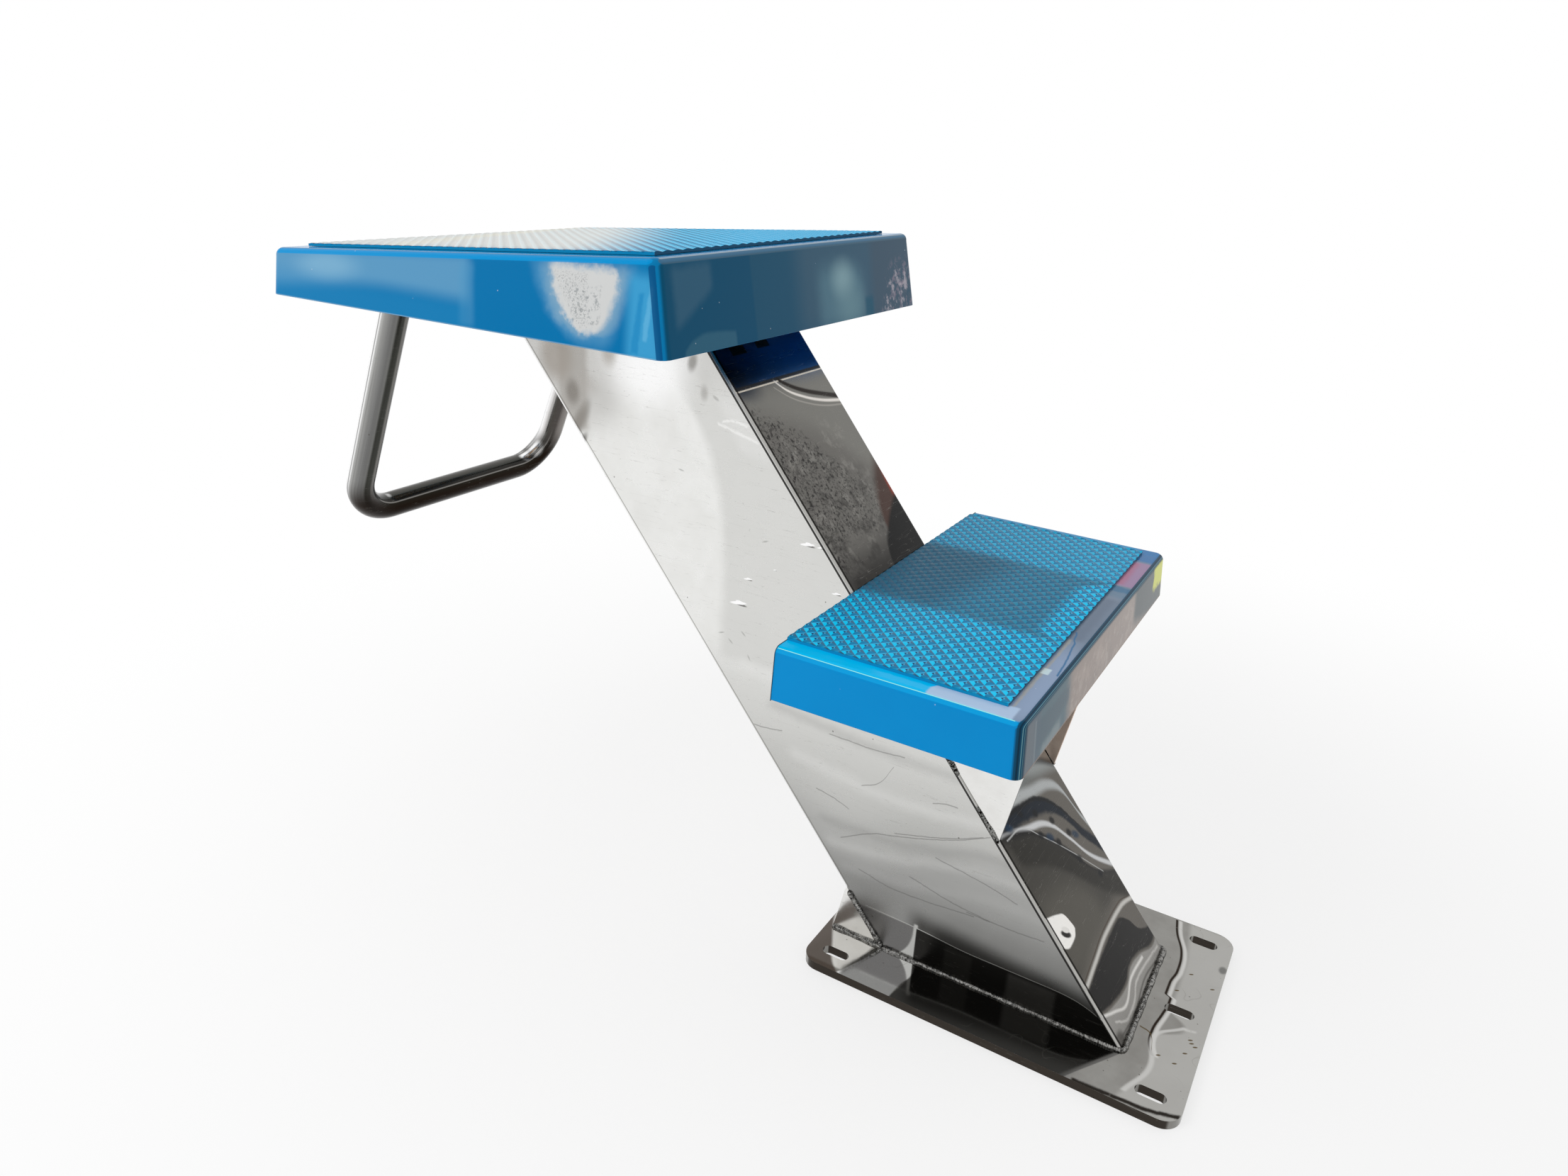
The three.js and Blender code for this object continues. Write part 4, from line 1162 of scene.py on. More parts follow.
@dataclass(frozen=True)
class TubeSteel(Steel):
    """Steel of a bent tube, with reflections and highlights painted round its section as a mirror
    finish shows them.

    The attribute "section" holds the cosine and the sine of the angle round the tube, and the
    length along it. left, right and bar give tones at angles in degrees, a turn up from the
    seam, for the two legs and for the bar between them. glints are bright spots, each with its
    place and its reach, bends the heights over which a leg turns into the bar, and change the
    half width over which the left leg's tones give way to the right one's, in millimetres."""

    left: Tones = ()
    right: Tones = ()
    bar: Tones = ()
    glints: Tuple[Tuple[float, float, float, float], ...] = ()
    bends: Point = (390.0, 432.0)
    change: float = 20.0
    seam: float = -280.0
    streak: str = "#1c1915"
    shake: float = 0.03

    def tone(self, graph: Graph, at: Input, base: Input) -> Input:
        """Three ramps of the angle, which paint the tube's reflections and highlights, blended by
        height and by side.

        The angle is the arc tangent of the two, shaken a little by noise stretched along the
        tube. The noise also lays dark streaks, and breaks up the glints."""
        section = graph.node("ShaderNodeAttribute", attribute_name="section").outputs["Vector"]
        cos, sin, _ = graph.node("ShaderNodeSeparateXYZ", {0: section}).outputs
        streaks = graph.noise(graph.vector("MULTIPLY", section, (3.0, 3.0, 2.0)), 1.0, 3.0, 0.6)
        turn = graph.math("MULTIPLY_ADD", graph.math("ARCTAN2", sin, cos), 0.5 / math.pi,
                          -self.seam / 360.0)
        turn = graph.math("MULTIPLY_ADD", graph.math("SUBTRACT", streaks, 0.5), self.shake, turn)
        turn = graph.math("FRACT", turn)
        left, right, bar = (graph.ramp(turn, [((angle - self.seam) / 360.0, code)
                                              for angle, code in tones])
                            for tones in (self.left, self.right, self.bar))
        _, side, height = graph.node("ShaderNodeSeparateXYZ", {0: at}).outputs
        legs = graph.mix(graph.spread(side, -self.change * MM, self.change * MM), right, left)
        low, high = self.bends
        base = graph.mix(graph.spread(height, low * MM, high * MM), bar, legs)
        base = graph.mix(graph.spread(streaks, 0.52, 0.7, 0.0, 0.3), base, colour(self.streak))
        for *spot, reach in self.glints:
            away = graph.vector("LENGTH", graph.vector(
                "SUBTRACT", at, [part * MM for part in spot]))
            near = graph.spread(away, 0.3 * reach * MM, reach * MM, 1.0, 0.0)
            base = graph.cover(base, "#ffffff", near, graph.spread(streaks, 0.3, 0.55))
        return base


@dataclass(frozen=True)
class Gelcoat:
    """Glossy coloured gelcoat over glass fibre, with faint waviness, dust, and painted reflections,
    highlights and shade.
    """

    name: str
    main: str
    shade: str
    cloud_scale: float = 7.0
    cloud_contrast: float = 0.3
    dust: str = "#dfe8ec"
    dust_scale: float = 210.0
    dust_size: float = 0.16
    dust_share: float = 0.012
    dust_strength: float = 0.5
    roughness: float = 0.1
    unevenness: float = 0.05
    specular: float = 0.06
    paint: Paint = ()

    def material(self) -> Material:
        """Builds the material."""
        made, graph, shader, at = start_material(self.name)
        clouds = graph.group(EFFECTS.clouds, Vector=at, Scale=self.cloud_scale,
                             Contrast=self.cloud_contrast)
        base = graph.mix(clouds, colour(self.main), colour(self.shade))
        for coat in self.paint:
            base = coat.paint(graph, at, base)
        spots = graph.group(EFFECTS.specks, Vector=at, Scale=self.dust_scale,
                            Share=self.dust_share, Size=self.dust_size)
        base = graph.cover(base, self.dust, spots, self.dust_strength)
        rough = graph.math("MULTIPLY_ADD", clouds, self.unevenness, self.roughness)
        shader.inputs["Specular IOR Level"].default_value = self.specular
        waves = graph.noise(at, 9.0, 2.0, 0.4)
        graph.dress(shader, base, rough, graph.bump(waves, 0.1, 1.0))
        return made


@dataclass(frozen=True)
class StuddedMat:
    """Moulded anti-slip mat: each facet of the studs is painted with the light and shade of the
    side that it faces, and each pit with painted shade and a glint.
    """

    name: str
    sheet: str = "#3c92c0"
    # Painted light and shade: the four sides of a stud, then the four sides of its pit
    facet_shading: Tuple[str, ...] = ("#0880b4", "#2c6a90", "#04b8ee", "#00d0ff",
                               "#1496c8", "#4fb0da", "#042456", "#0a5088")
    worn: str = "#5cc4e4"
    dirt: str = "#3f6d7e"
    traces: float = 0.1
    roughness: float = 0.22
    unevenness: float = 0.2
    specular: float = 0.05
    paint: Paint = ()

    def material(self) -> Material:
        """Builds the material.

        The attribute "facet" holds 1 to 4 for the sides and 5 to 8 for the pit of each stud, and
        0 for the sheet. traces is how much of wear and dirt shows."""
        made, graph, shader, at = start_material(self.name)
        facet = graph.node("ShaderNodeAttribute", attribute_name="facet").outputs["Fac"]
        base: Input = colour(self.sheet)
        for number, code in enumerate(self.facet_shading, start=1):
            here = graph.math("COMPARE", facet, float(number), 0.1)
            base = graph.mix(here, base, colour(code))
        worn = graph.group(EFFECTS.clouds, Vector=at, Scale=16.0, Contrast=0.25)
        base = graph.cover(base, self.worn, worn, self.traces)
        for coat in self.paint:
            base = coat.paint(graph, at, base)
        dirt = graph.spread(graph.noise(at, 420.0, 4.0, 0.7), 0.6, 0.72)
        base = graph.cover(base, self.dirt, dirt, self.traces)
        rough = graph.math("MULTIPLY_ADD", dirt, self.unevenness, self.roughness)
        shader.inputs["Specular IOR Level"].default_value = self.specular
        grain = graph.noise(at, 900.0, 3.0, 0.6)
        graph.dress(shader, base, rough, graph.bump(grain, 0.12, 0.1))
        return made


@dataclass(frozen=True)
class Plywood:
    """Plywood: long grain on the faces and thin plies across the edges."""

    name: str
    light: str = "#c09a68"
    dark: str = "#8d6a42"
    ply: float = 1.6

    def material(self) -> Material:
        """Builds the material; the plies are a triangle wave of the height."""
        made, graph, shader, at = start_material(self.name)
        grain = graph.noise(graph.vector("MULTIPLY", at, (6.0, 120.0, 120.0)), 1.0, 5.0, 0.6, 0.6)
        height = graph.node("ShaderNodeSeparateXYZ", {0: at}).outputs[2]
        plies = graph.math("PINGPONG", graph.math("DIVIDE", height, self.ply * MM), 1.0)
        share = graph.between(0.35, graph.spread(grain, 0.35, 0.65), plies)
        base = graph.mix(share, colour(self.light), colour(self.dark))
        rough = graph.math("MULTIPLY_ADD", grain, 0.2, 0.6)
        graph.dress(shader, base, rough, graph.bump(grain, 0.3, 0.2))
        return made


class Finishes:
    """All materials of the block, built once."""

    def __init__(self) -> None:
        """Builds the materials."""
        # The fold lines are painted shade and a painted highlight down the column's left fold
        fold = tuple(np.add(LAYOUT.rear_normal(), LEFT))
        folds = (Sheen("#1f1e1c", fold, 0.722, 0.012, 0.95, high=0.94),
                 Sheen("#a8a7a3", fold, 0.965, 0.010, 0.9))
        # The plate's left sides get painted shade, and the edge above them a painted highlight
        self.plate = Steel("plate_steel", "#94938f", "#817f7b", 0.07, paint=(
            plate_paint(), Sheen("#3b3631", LEFT, 0.85, 0.05),
            Sheen("#c8c7c3", (0.0, 0.72, 0.7), 0.93, 0.03, 0.9))).material()
        self.column_side = Steel("column_side_steel", "#eeeeec", "#e6e6e3", 0.24,
                                 speck_share=0.006, paint=(column_side_paint(), *folds)).material()
        self.column_rear = Steel("column_rear_steel", "#e6e6e4", "#dadad7", 0.2,
                                 speck_share=0.03, paint=(column_rear_paint(), *folds)).material()
        self.gusset = Steel("gusset_steel", "#f2f2f0", "#e4e3e0", 0.14,
                            speck_share=0.01).material()
        # A duller copy of the gusset steel, tinted brownish as a painted reflection, for the right
        # step gusset
        self.dull_brown_reflection = Steel("dull_brown_reflection_steel", "#f4e2d4", "#d8c0b0", 0.3).material()
        # The tube's tones and glints are painted reflections and highlights
        self.tube = TubeSteel(
            "tube_steel", "#4a4743", "#3a3733", 0.16, speck_share=0.01,
            left=((-140, "#34322f"), (-118, "#42403d"), (-100, "#6e6c68"), (-92, "#42433f"),
                  (-68, "#42433f"), (-62, "#747472"), (-52, "#6e6e6d"), (-34, "#80807f"),
                  (-14, "#999997"), (0, "#bebebc"), (8, "#ffffff"), (14, "#8a8a88"),
                  (20, "#ffffff"), (40, "#ffffff"), (70, "#ffffff")),
            right=((-250, "#ffffff"), (-204, "#ffffff"), (-186, "#e0dedd"), (-172, "#b4b2b0"),
                   (-158, "#4a4843"), (-142, "#4e4a47"), (-126, "#504c49"), (-110, "#7e7976"),
                   (-86, "#8e8985"), (0, "#8e8985")),
            bar=((-250, "#6a6864"), (-200, "#44423e"), (-180, "#4c4b47"), (-164, "#40413e"),
                 (-152, "#32312f"), (-141, "#2e2c2a"), (-137, "#8a8884"), (-133, "#221f1a"),
                 (-110, "#1f1711"), (-80, "#150c06"), (-30, "#241a12")),
            glints=((828, -134, 402, 16), (834, -121, 394, 12), (838, 118, 387, 8)),
        ).material()
        self.bolt = Steel("bolt_steel", "#c2c3c4", "#a4a5a6", 0.3, bump=0.02).material()
        self.weld = Steel("weld_steel", "#a2a19e", "#1c1b19", 0.25, cloud_scale=420.0,
                          cloud_contrast=0.16).material()
        self.seam = Steel("seam_steel", "#8f8f8c", "#0f0d0b", 0.3, cloud_scale=330.0,
                          cloud_contrast=0.06).material()
        self.platform_shell = Gelcoat("platform_gelcoat", "#0080ba", "#0079b2", paint=(
            platform_side_paint(), platform_rear_paint(),
            # Painted highlight and shade lines along the deck's rounded edges and the skirt's
            # corners
            Sheen("#0092d4", (0.0, 0.75, 0.66), 0.93, 0.02, 0.9),
            Sheen("#4c6c80", (-0.75, 0.0, 0.66), 0.93, 0.02, 0.7),
            Sheen("#a8b4ba", (-0.4, 0.0, 0.92), 0.994, 0.003, 0.8),
            Sheen("#00548a", (-0.5, 0.87, 0.0), 0.955, 0.01, 0.9),
            Sheen("#8fa2b8", (-0.93, 0.37, 0.0), 0.992, 0.004, 0.7))).material()
        self.step_shell = Gelcoat("step_gelcoat", "#008ed2", "#0088cc", specular=0.08, paint=(
            step_top_paint(), step_rear_paint(),
            # Painted highlight, shade and reflection lines along the step's rounded edges and
            # corners
            Sheen("#0a5c8c", (-0.5, 0.87, 0.0), 0.955, 0.01, 0.7),
            Sheen("#6fa8c8", (-0.74, 0.67, 0.0), 0.992, 0.003, 0.7),
            Sheen("#3c8cb4", (-0.86, 0.5, 0.0), 0.992, 0.003, 0.6),
            Sheen("#0c4460", REAR, 0.34, 0.05, 0.95, high=0.962),
            Sheen("#06283a", REAR, 0.52, 0.04, 0.8, high=0.66),
            Sheen("#7fb0b4", REAR, 0.76, 0.015, 0.8, high=0.80),
            Sheen("#6f9c9c", REAR, 0.885, 0.008, 0.7, high=0.905),
            Sheen("#06a4e4", (0.0, 0.75, 0.66), 0.95, 0.02, 0.8),
            Sheen("#a4fbf0", (0.0, 0.52, 0.85), 0.9986, 0.0006, 0.9))).material()
        # Painted shade on the mats' sides that face left and back
        border = (Sheen("#1493c4", LEFT, 0.9, 0.05), Sheen("#2f5f7c", REAR, 0.9, 0.05))
        self.step_mat = StuddedMat("step_mat_rubber", paint=(
            step_mat_paint(), *border)).material()
        self.platform_mat = StuddedMat("platform_mat_rubber", roughness=0.3, specular=0.03, paint=(
            platform_mat_paint(), *border)).material()
        self.plywood = Plywood("plywood").material()


# Sub-assemblies

@dataclass
class WeldBead:
    """A weld bead: a round section carried along a path, swelling where each pool has set."""

    radius: float = 2.6
    pitch: float = 2.4
    ripple: float = 0.16
    wander: float = 0.12
    waves: Point = (7.3, 2.9)
    rings_per_pool: float = 5.0
    fewest_rings: int = 12
    sides: int = 10

    def surface(self, path: Array, closed: bool = False) -> Surface:
        """Carries the section along a path.

        The radius at a length s is radius (1 + ripple |sin(pi s / pitch)| + wander (sin(s / a) -
        sin(s / b) / 2)) with the waves a and b, and the section is a circle square to the path.
        An open bead narrows to its ends.

        Args:
            path: Corner points of the path, (n, 3).
            closed: Whether the path returns to its start.

        Returns:
            The bead's surface.
        """
        corners = np.vstack([path, path[:1]]) if closed else path
        reach = np.concatenate([[0.0], np.cumsum(np.linalg.norm(np.diff(corners, axis=0), axis=1))])
        count = max(int(reach[-1] / self.pitch * self.rings_per_pool), self.fewest_rings)
        length = np.linspace(0.0, reach[-1], count, endpoint=not closed)
        centre = joined(*(np.interp(length, reach, axis) for axis in corners.T))
        forward = unit(np.gradient(centre, axis=0))
        up = np.where(np.abs(forward[:, 2:]) > 0.9, AHEAD, UP)
        side = unit(np.cross(forward, up))
        top = np.cross(side, forward)
        swell = 1.0 + self.ripple * np.abs(np.sin(math.pi * length / self.pitch))
        swell += self.wander * np.sin(length / self.waves[0])
        swell -= 0.5 * self.wander * np.sin(length / self.waves[1])
        if not closed:
            ends = np.minimum(length, reach[-1] - length)
            swell *= np.sqrt(np.clip(ends / self.radius, 0.05, 1.0))
        angle = np.linspace(0.0, 2.0 * math.pi, self.sides, endpoint=False)
        offset = (side[:, None] * np.cos(angle)[None, :, None]
                  + top[:, None] * np.sin(angle)[None, :, None])
        rings = centre[:, None] + self.radius * swell[:, None, None] * offset
        tube = Surface.grid(rings, wrap_rows=closed, wrap_columns=True)
        if closed:
            return tube
        return tube + Surface.polygon(rings[0][::-1]) + Surface.polygon(rings[-1])


@dataclass
class AnchorPlate:
    """The plate that is bolted to the deck."""

    edge: Softening = Softening(0.7, 3)

    def build(self, finishes: Finishes) -> None:
        """Finishes the plate."""
        place_copy("base_plate", finishes.plate, self.edge)


@dataclass
class Column:
    """The folded channel with its front plate, its gussets and its head flange.

    bead_out and foot_bead_out are how far the middle of a bead stands out of the faces that
    it joins, and seam_bead_in is how far ahead of the rear face the thin beads run.
    """

    fold_radius: float = 5.0
    head_depth: float = 29.9
    fold_steps: int = 10
    gusset_foot: float = 62.0
    gusset_height: float = 56.0
    seams: Tuple[Point, Point] = ((194.0, 226.0), (254.0, 346.0))
    bead: WeldBead = field(default_factory=WeldBead)
    thin_bead: WeldBead = field(
        default_factory=lambda: WeldBead(radius=1.5, ripple=0.35, wander=0.3))
    bead_out: float = 0.6
    foot_bead_out: float = 0.8
    seam_bead_in: float = 1.6

    def _section(self, inset: float) -> Array:
        """One side of the sheet as (depth, y) points, from the left front edge round the two
        folds to the right front edge; inset is 0 for the outside and the sheet for the inside."""
        half, fold, deep = LAYOUT.column_half_width, self.fold_radius, LAYOUT.column_depth()
        left = arc((fold, half - fold), fold - inset, 90.0, 180.0, self.fold_steps)
        right = arc((fold, fold - half), fold - inset, 180.0, 270.0, self.fold_steps)
        return np.vstack([[[deep, half - inset]], left, right, [[deep, inset - half]]])

    def _channel(self) -> Surface:
        """The folded sheet: its section carried up the lean, from plate to head.

        Each point of the section starts on the anchor plate and ends on the plane under the
        head flange, and the two ends and the front edges are closed by strips."""
        skins = []
        for inset in (0.0, LAYOUT.sheet):
            section = self._section(inset)
            skins.append(np.stack(LAYOUT.leaning(section[:, 0], section[:, 1], self.head_depth)))
        outer, inner = skins
        loop = np.concatenate([outer, inner[:, ::-1]], axis=1)
        return (Surface.grid(loop, wrap_columns=True)
                + Surface.grid(np.stack([outer[0], inner[0]]))
                + Surface.grid(np.stack([outer[1], inner[1]])[::-1]))

    def _foot_path(self) -> Array:
        """Path of the weld round the column's foot, from the left front edge to the right one."""
        section = self._section(-self.foot_bead_out)
        foot, _ = LAYOUT.leaning(section[:, 0], section[:, 1], self.head_depth)
        return foot + np.array([0.0, 0.0, self.bead_out])

    def _welds(self, finishes: Finishes) -> None:
        """Adds the beads at the foot, up the front edges, along the gussets and at the head."""
        beads = {"foot_weld": self.bead.surface(self._foot_path())}
        front = LAYOUT.column_rear_foot + LAYOUT.column_foot_length
        climb = self.gusset_height / math.tan(LAYOUT.lean)
        top = LAYOUT.plate_top
        low = top + self.bead_out
        for side, name in ((1.0, "left"), (-1.0, "right")):
            y = side * (LAYOUT.column_half_width + self.bead_out)
            seam = np.array([[front, y, top + 1.0], [front + climb, y, top + self.gusset_height]])
            foot = np.array([[front, y, low], [front + self.gusset_foot, y, low]])
            beads[f"front_gusset_weld_{name}"] = self.bead.surface(seam) + self.bead.surface(foot)
            upper, lower = (self.thin_bead.surface(np.array(
                [[LAYOUT.column_rear_x(z) + self.seam_bead_in, y, z] for z in ends]))
                for ends in self.seams)
            beads[f"step_gusset_weld_{name}"] = upper + lower
        for name, surface in beads.items():
            steel = finishes.seam if "step" in name else finishes.weld
            place(name, surface.mesh(name), steel, softening=Softening(0.0))

    def build(self, finishes: Finishes) -> None:
        """Builds the channel and finishes what is welded to it."""
        mesh = self._channel().mesh("column_channel_folded")
        mesh.materials.append(finishes.column_side)
        mesh.materials.append(finishes.column_rear)
        rear = read(mesh.polygons, "normal", 3) @ np.array(LAYOUT.rear_normal()) > 0.6
        mesh.polygons.foreach_set("material_index", rear.astype(np.int32))
        place("column_channel_folded", mesh, None, ("column_channel",),
              Softening(0.4, 2, 40.0))
        place_copy("column_front_plate", finishes.gusset)
        for side in ("left", "right"):
            place_copy(f"front_gusset_{side}", finishes.gusset)
            # The right step gusset takes the steel with a painted brownish reflection
            place_copy(f"step_gusset_{side}", finishes.gusset if side == "left" else finishes.dull_brown_reflection)
        place_copy("column_head_flange", finishes.gusset)
        self._welds(finishes)


@dataclass
class MouldedShell:
    """A moulded glass-fibre shell: a deck with a drafted skirt, open underneath.

    Lengths are in millimetres; top gives the height of the deck from x.
    """

    name: str
    node: str
    rear_x: float
    length: float
    width: float
    rim: float
    rear_draft: float
    front_draft: float
    side_draft: float
    wall: float
    corner: float
    edge: float
    top: Callable[[Array], Array]
    open_front: bool = False
    corner_steps: int = 14
    edge_steps: int = 10

    def _plan(self, inset: float, share: float, radius: float) -> Array:
        """Plan of one level as (x, y) points: a rectangle with round corners, drawn in by an
        inset and by a share of each side's draft. An open front leaves out the two front
        corners and ends on the sawn face."""
        low_x = self.rear_x + inset + share * self.rear_draft
        high_x = self.rear_x + self.length - inset - share * self.front_draft
        half = self.width / 2 - inset - share * self.side_draft
        rear = [arc((low_x + radius, half - radius), radius, 90.0, 180.0, self.corner_steps),
                arc((low_x + radius, radius - half), radius, 180.0, 270.0, self.corner_steps)]
        if self.open_front:
            sawn = self.rear_x + self.length
            return np.vstack([[[sawn, half]], *rear, [[sawn, -half]]])
        front = [arc((high_x - radius, radius - half), radius, 270.0, 360.0, self.corner_steps),
                 arc((high_x - radius, half - radius), radius, 0.0, 90.0, self.corner_steps)]
        return np.vstack([*rear, *front])

    def _skin(self, offset: float) -> Array:
        """One skin as a grid of levels and plan points.

        The first level is the rim. The others climb the rounded edge: at the angle a the plan
        is drawn in by the draft and edge (1 - cos a), and lies edge (1 - sin a) below the deck."""
        edge = max(self.edge - offset, self.wall / 4)
        corner = max(self.corner - offset, edge + self.wall / 4)
        turns = np.linspace(0.0, math.pi / 2, self.edge_steps + 1)
        plans = [self._plan(offset, 0.0, corner)]
        plans += [self._plan(offset + edge * (1 - math.cos(turn)), 1.0,
                             corner - edge * (1 - math.cos(turn))) for turn in turns]
        plan = np.stack(plans)
        drops = edge * (1 - np.sin(turns))[:, None]
        depth = self.wall if offset > 0.0 else 0.0
        high = self.top(plan[1:, :, 0]) - depth - drops
        rim = np.full((1, plan.shape[1]), self.rim)
        return np.concatenate([plan, np.concatenate([rim, high])[..., None]], axis=-1)

    def surface(self) -> Surface:
        """Both skins, the deck's two faces, the rim and, if open, the sawn front."""
        outer, inner = self._skin(0.0), self._skin(self.wall)
        closed = not self.open_front
        whole = (Surface.grid(outer, wrap_columns=closed)
                 + Surface.polygon(outer[-1])
                 + Surface.grid(inner[:, ::-1], wrap_columns=closed)
                 + Surface.polygon(inner[-1][::-1])
                 + Surface.grid(np.stack([inner[0], outer[0]]), wrap_columns=closed))
        if self.open_front:
            profile = np.vstack([outer[:, 0], outer[::-1, -1], inner[:, -1], inner[::-1, 0]])
            whole = whole + Surface.polygon(profile[::-1])
        return whole

    def build(self, material: Material) -> None:
        """Places the shell."""
        mesh = self.surface().mesh(self.name)
        place(self.name, mesh, material, (self.node,), Softening(0.7, 3, 40.0))


@dataclass
class Mat:
    """A moulded mat: a sheet with square studs set cornerwise, cut straight at its borders.

    Lengths are in millimetres, in a frame whose z = 0 is the mat's underside.
    """

    name: str
    node: str
    low: Point
    high: Point
    sheet: float = 2.3
    rise: float = 0.9
    pitch: float = 10.0
    groove: float = 0.4
    top_half: float = 1.4
    pit_depth: float = 0.5
    sliver: float = 0.05
    ribbon_step: float = 0.9

    def _height(self, x: Array, y: Array) -> Array:
        """Height of the studs above the sheet.

        In axes turned by 45 degrees the studs fill a square lattice. With m the larger of the
        two distances from the nearest stud's middle, the height falls from rise at the stud's
        top to 0 at the groove in a straight line of m."""
        u, v = (x + y) / math.sqrt(2.0), (y - x) / math.sqrt(2.0)
        off = np.maximum(np.abs(u - np.round(u / self.pitch) * self.pitch),
                         np.abs(v - np.round(v / self.pitch) * self.pitch))
        foot = (self.pitch - self.groove) / 2
        return self.rise * np.clip((foot - off) / (foot - self.top_half), 0.0, 1.0)

    def _studs(self) -> Surface:
        """All studs at once: one template of four sides and a pit, moved to each lattice place.

        A stud that crosses the border keeps its height at the border, and one with no more
        than a sliver inside is dropped."""
        foot, top = (self.pitch - self.groove) / 2, self.top_half
        square = np.array([[1.0, 1.0], [-1.0, 1.0], [-1.0, -1.0], [1.0, -1.0]])
        template = np.vstack([square * foot, square * top, [[0.0, 0.0]]])
        middle = (np.array(self.low) + np.array(self.high)) / 2
        reach = int(np.ceil(np.linalg.norm(np.array(self.high) - middle) / self.pitch)) + 1
        steps = np.arange(-reach, reach + 1) * self.pitch
        u0, v0 = (middle[0] + middle[1]) / math.sqrt(2.0), (middle[1] - middle[0]) / math.sqrt(2.0)
        u = np.round(u0 / self.pitch) * self.pitch + steps
        v = np.round(v0 / self.pitch) * self.pitch + steps
        places = joined(u[:, None], v).reshape(-1, 1, 2)
        turned = places + template
        x = (turned[..., 0] - turned[..., 1]) / math.sqrt(2.0)
        y = (turned[..., 0] + turned[..., 1]) / math.sqrt(2.0)
        cut_x = np.clip(x, self.low[0], self.high[0])
        cut_y = np.clip(y, self.low[1], self.high[1])
        kept = (np.ptp(cut_x, axis=1) > self.sliver) & (np.ptp(cut_y, axis=1) > self.sliver)
        cut_x, cut_y = cut_x[kept], cut_y[kept]
        z = self.sheet + self._height(cut_x, cut_y)
        pit = z[:, -1]
        pit -= np.where(pit > self.sheet + 0.99 * self.rise, self.pit_depth, 0.0)
        points = joined(cut_x, cut_y, z)
        ring = np.arange(4)
        after = (ring + 1) % 4
        sides = joined(ring, after, after + 4, ring + 4)
        pits = joined(ring + 4, after + 4, 8)
        count = len(points)
        first = (np.arange(count) * len(template))[:, None]
        corners = (np.concatenate([sides.ravel(), pits.ravel()]) + first).reshape(-1)
        counts = np.tile([4] * 4 + [3] * 4, count)
        # The sides face left and back, right and back, right and front, left and front
        facet = np.tile(np.arange(1.0, 9.0), count)
        return Surface(points.reshape(-1, 3), corners, counts, {"facet": facet})

    def _sheet(self) -> Surface:
        """The sheet: its top, its underside, and a ribbon round it that follows the studs."""
        (x0, y0), (x1, y1) = self.low, self.high
        square = np.array([[x0, y0], [x1, y0], [x1, y1], [x0, y1]])
        edge = np.vstack([
            np.linspace(start, end, int(np.abs(end - start).max() / self.ribbon_step))
            for start, end in zip(square, np.roll(square, -1, axis=0))])
        x, y = edge.T
        ribbon = np.stack([joined(x, y, 0.0), joined(x, y, self.sheet + self._height(x, y))])
        return (Surface.grid(ribbon, wrap_columns=True)
                + Surface.polygon(joined(*square.T, self.sheet))
                + Surface.polygon(joined(*square.T, 0.0)[::-1]))

    def build(self, material: Material, change: Callable[[Array], Array]) -> None:
        """Places the mat after its points have been moved to where it lies."""
        surface = (self._studs() + self._sheet()).moved(change)
        mesh = surface.mesh(self.name, weld=0.0005)
        place(self.name, mesh, material, (self.node,), None)


@dataclass
class Step:
    """The step behind the column: tray, board, shell and mat."""

    top: float = 414.0
    rear_x: float = -31.6
    length: float = 231.0
    width: float = 482.0
    depth: float = 50.0
    margin_side: float = 24.0
    margin_rear: float = 25.0

    def build(self, finishes: Finishes) -> None:
        """Builds the step."""
        place_copy("step_support_tray", finishes.gusset)
        place_copy("step_core_board", finishes.plywood)
        MouldedShell(
            "step_shell_moulded", "step_shell", self.rear_x, self.length, self.width,
            rim=self.top - self.depth, rear_draft=3.5, front_draft=0.0, side_draft=3.5, wall=4.5,
            corner=10.0, edge=7.0, top=lambda x: np.full_like(x, self.top), open_front=True,
        ).build(finishes.step_shell)
        half = self.width / 2 - self.margin_side
        mat = Mat("step_mat_studded", "step_mat", (self.rear_x + self.margin_rear, -half),
                  (self.rear_x + self.length, half))
        mat.build(finishes.step_mat, lambda points: points + np.array([0.0, 0.0, self.top]))


@dataclass
class Platform:
    """The platform on the column's head: board, shell and mat."""

    length: float = 510.0
    width: float = 500.0
    rim: float = 648.0
    mat_margin_side: float = 34.0
    mat_margin_rear: float = 36.0
    mat_margin_front: float = 24.0
    stud_pitch: float = 10.33

    def build(self, finishes: Finishes) -> None:
        """Builds the platform."""
        place_copy("platform_core_board", finishes.plywood)
        MouldedShell(
            "platform_shell_moulded", "platform_shell", LAYOUT.deck_rear_x, self.length,
            self.width, self.rim, rear_draft=13.0, front_draft=0.5, side_draft=6.0, wall=5.0,
            corner=11.0, edge=8.0, top=LAYOUT.deck_height,
        ).build(finishes.platform_shell)
        along = self.length / math.cos(LAYOUT.deck_slope)
        half = self.width / 2 - self.mat_margin_side
        lift = np.array([0.0, 0.0, LAYOUT.seat_gap])
        mat = Mat("platform_mat_studded", "platform_mat", (self.mat_margin_rear, -half),
                  (along - self.mat_margin_front, half), pitch=self.stud_pitch)
        mat.build(finishes.platform_mat, lambda points: LAYOUT.from_deck(points + lift))


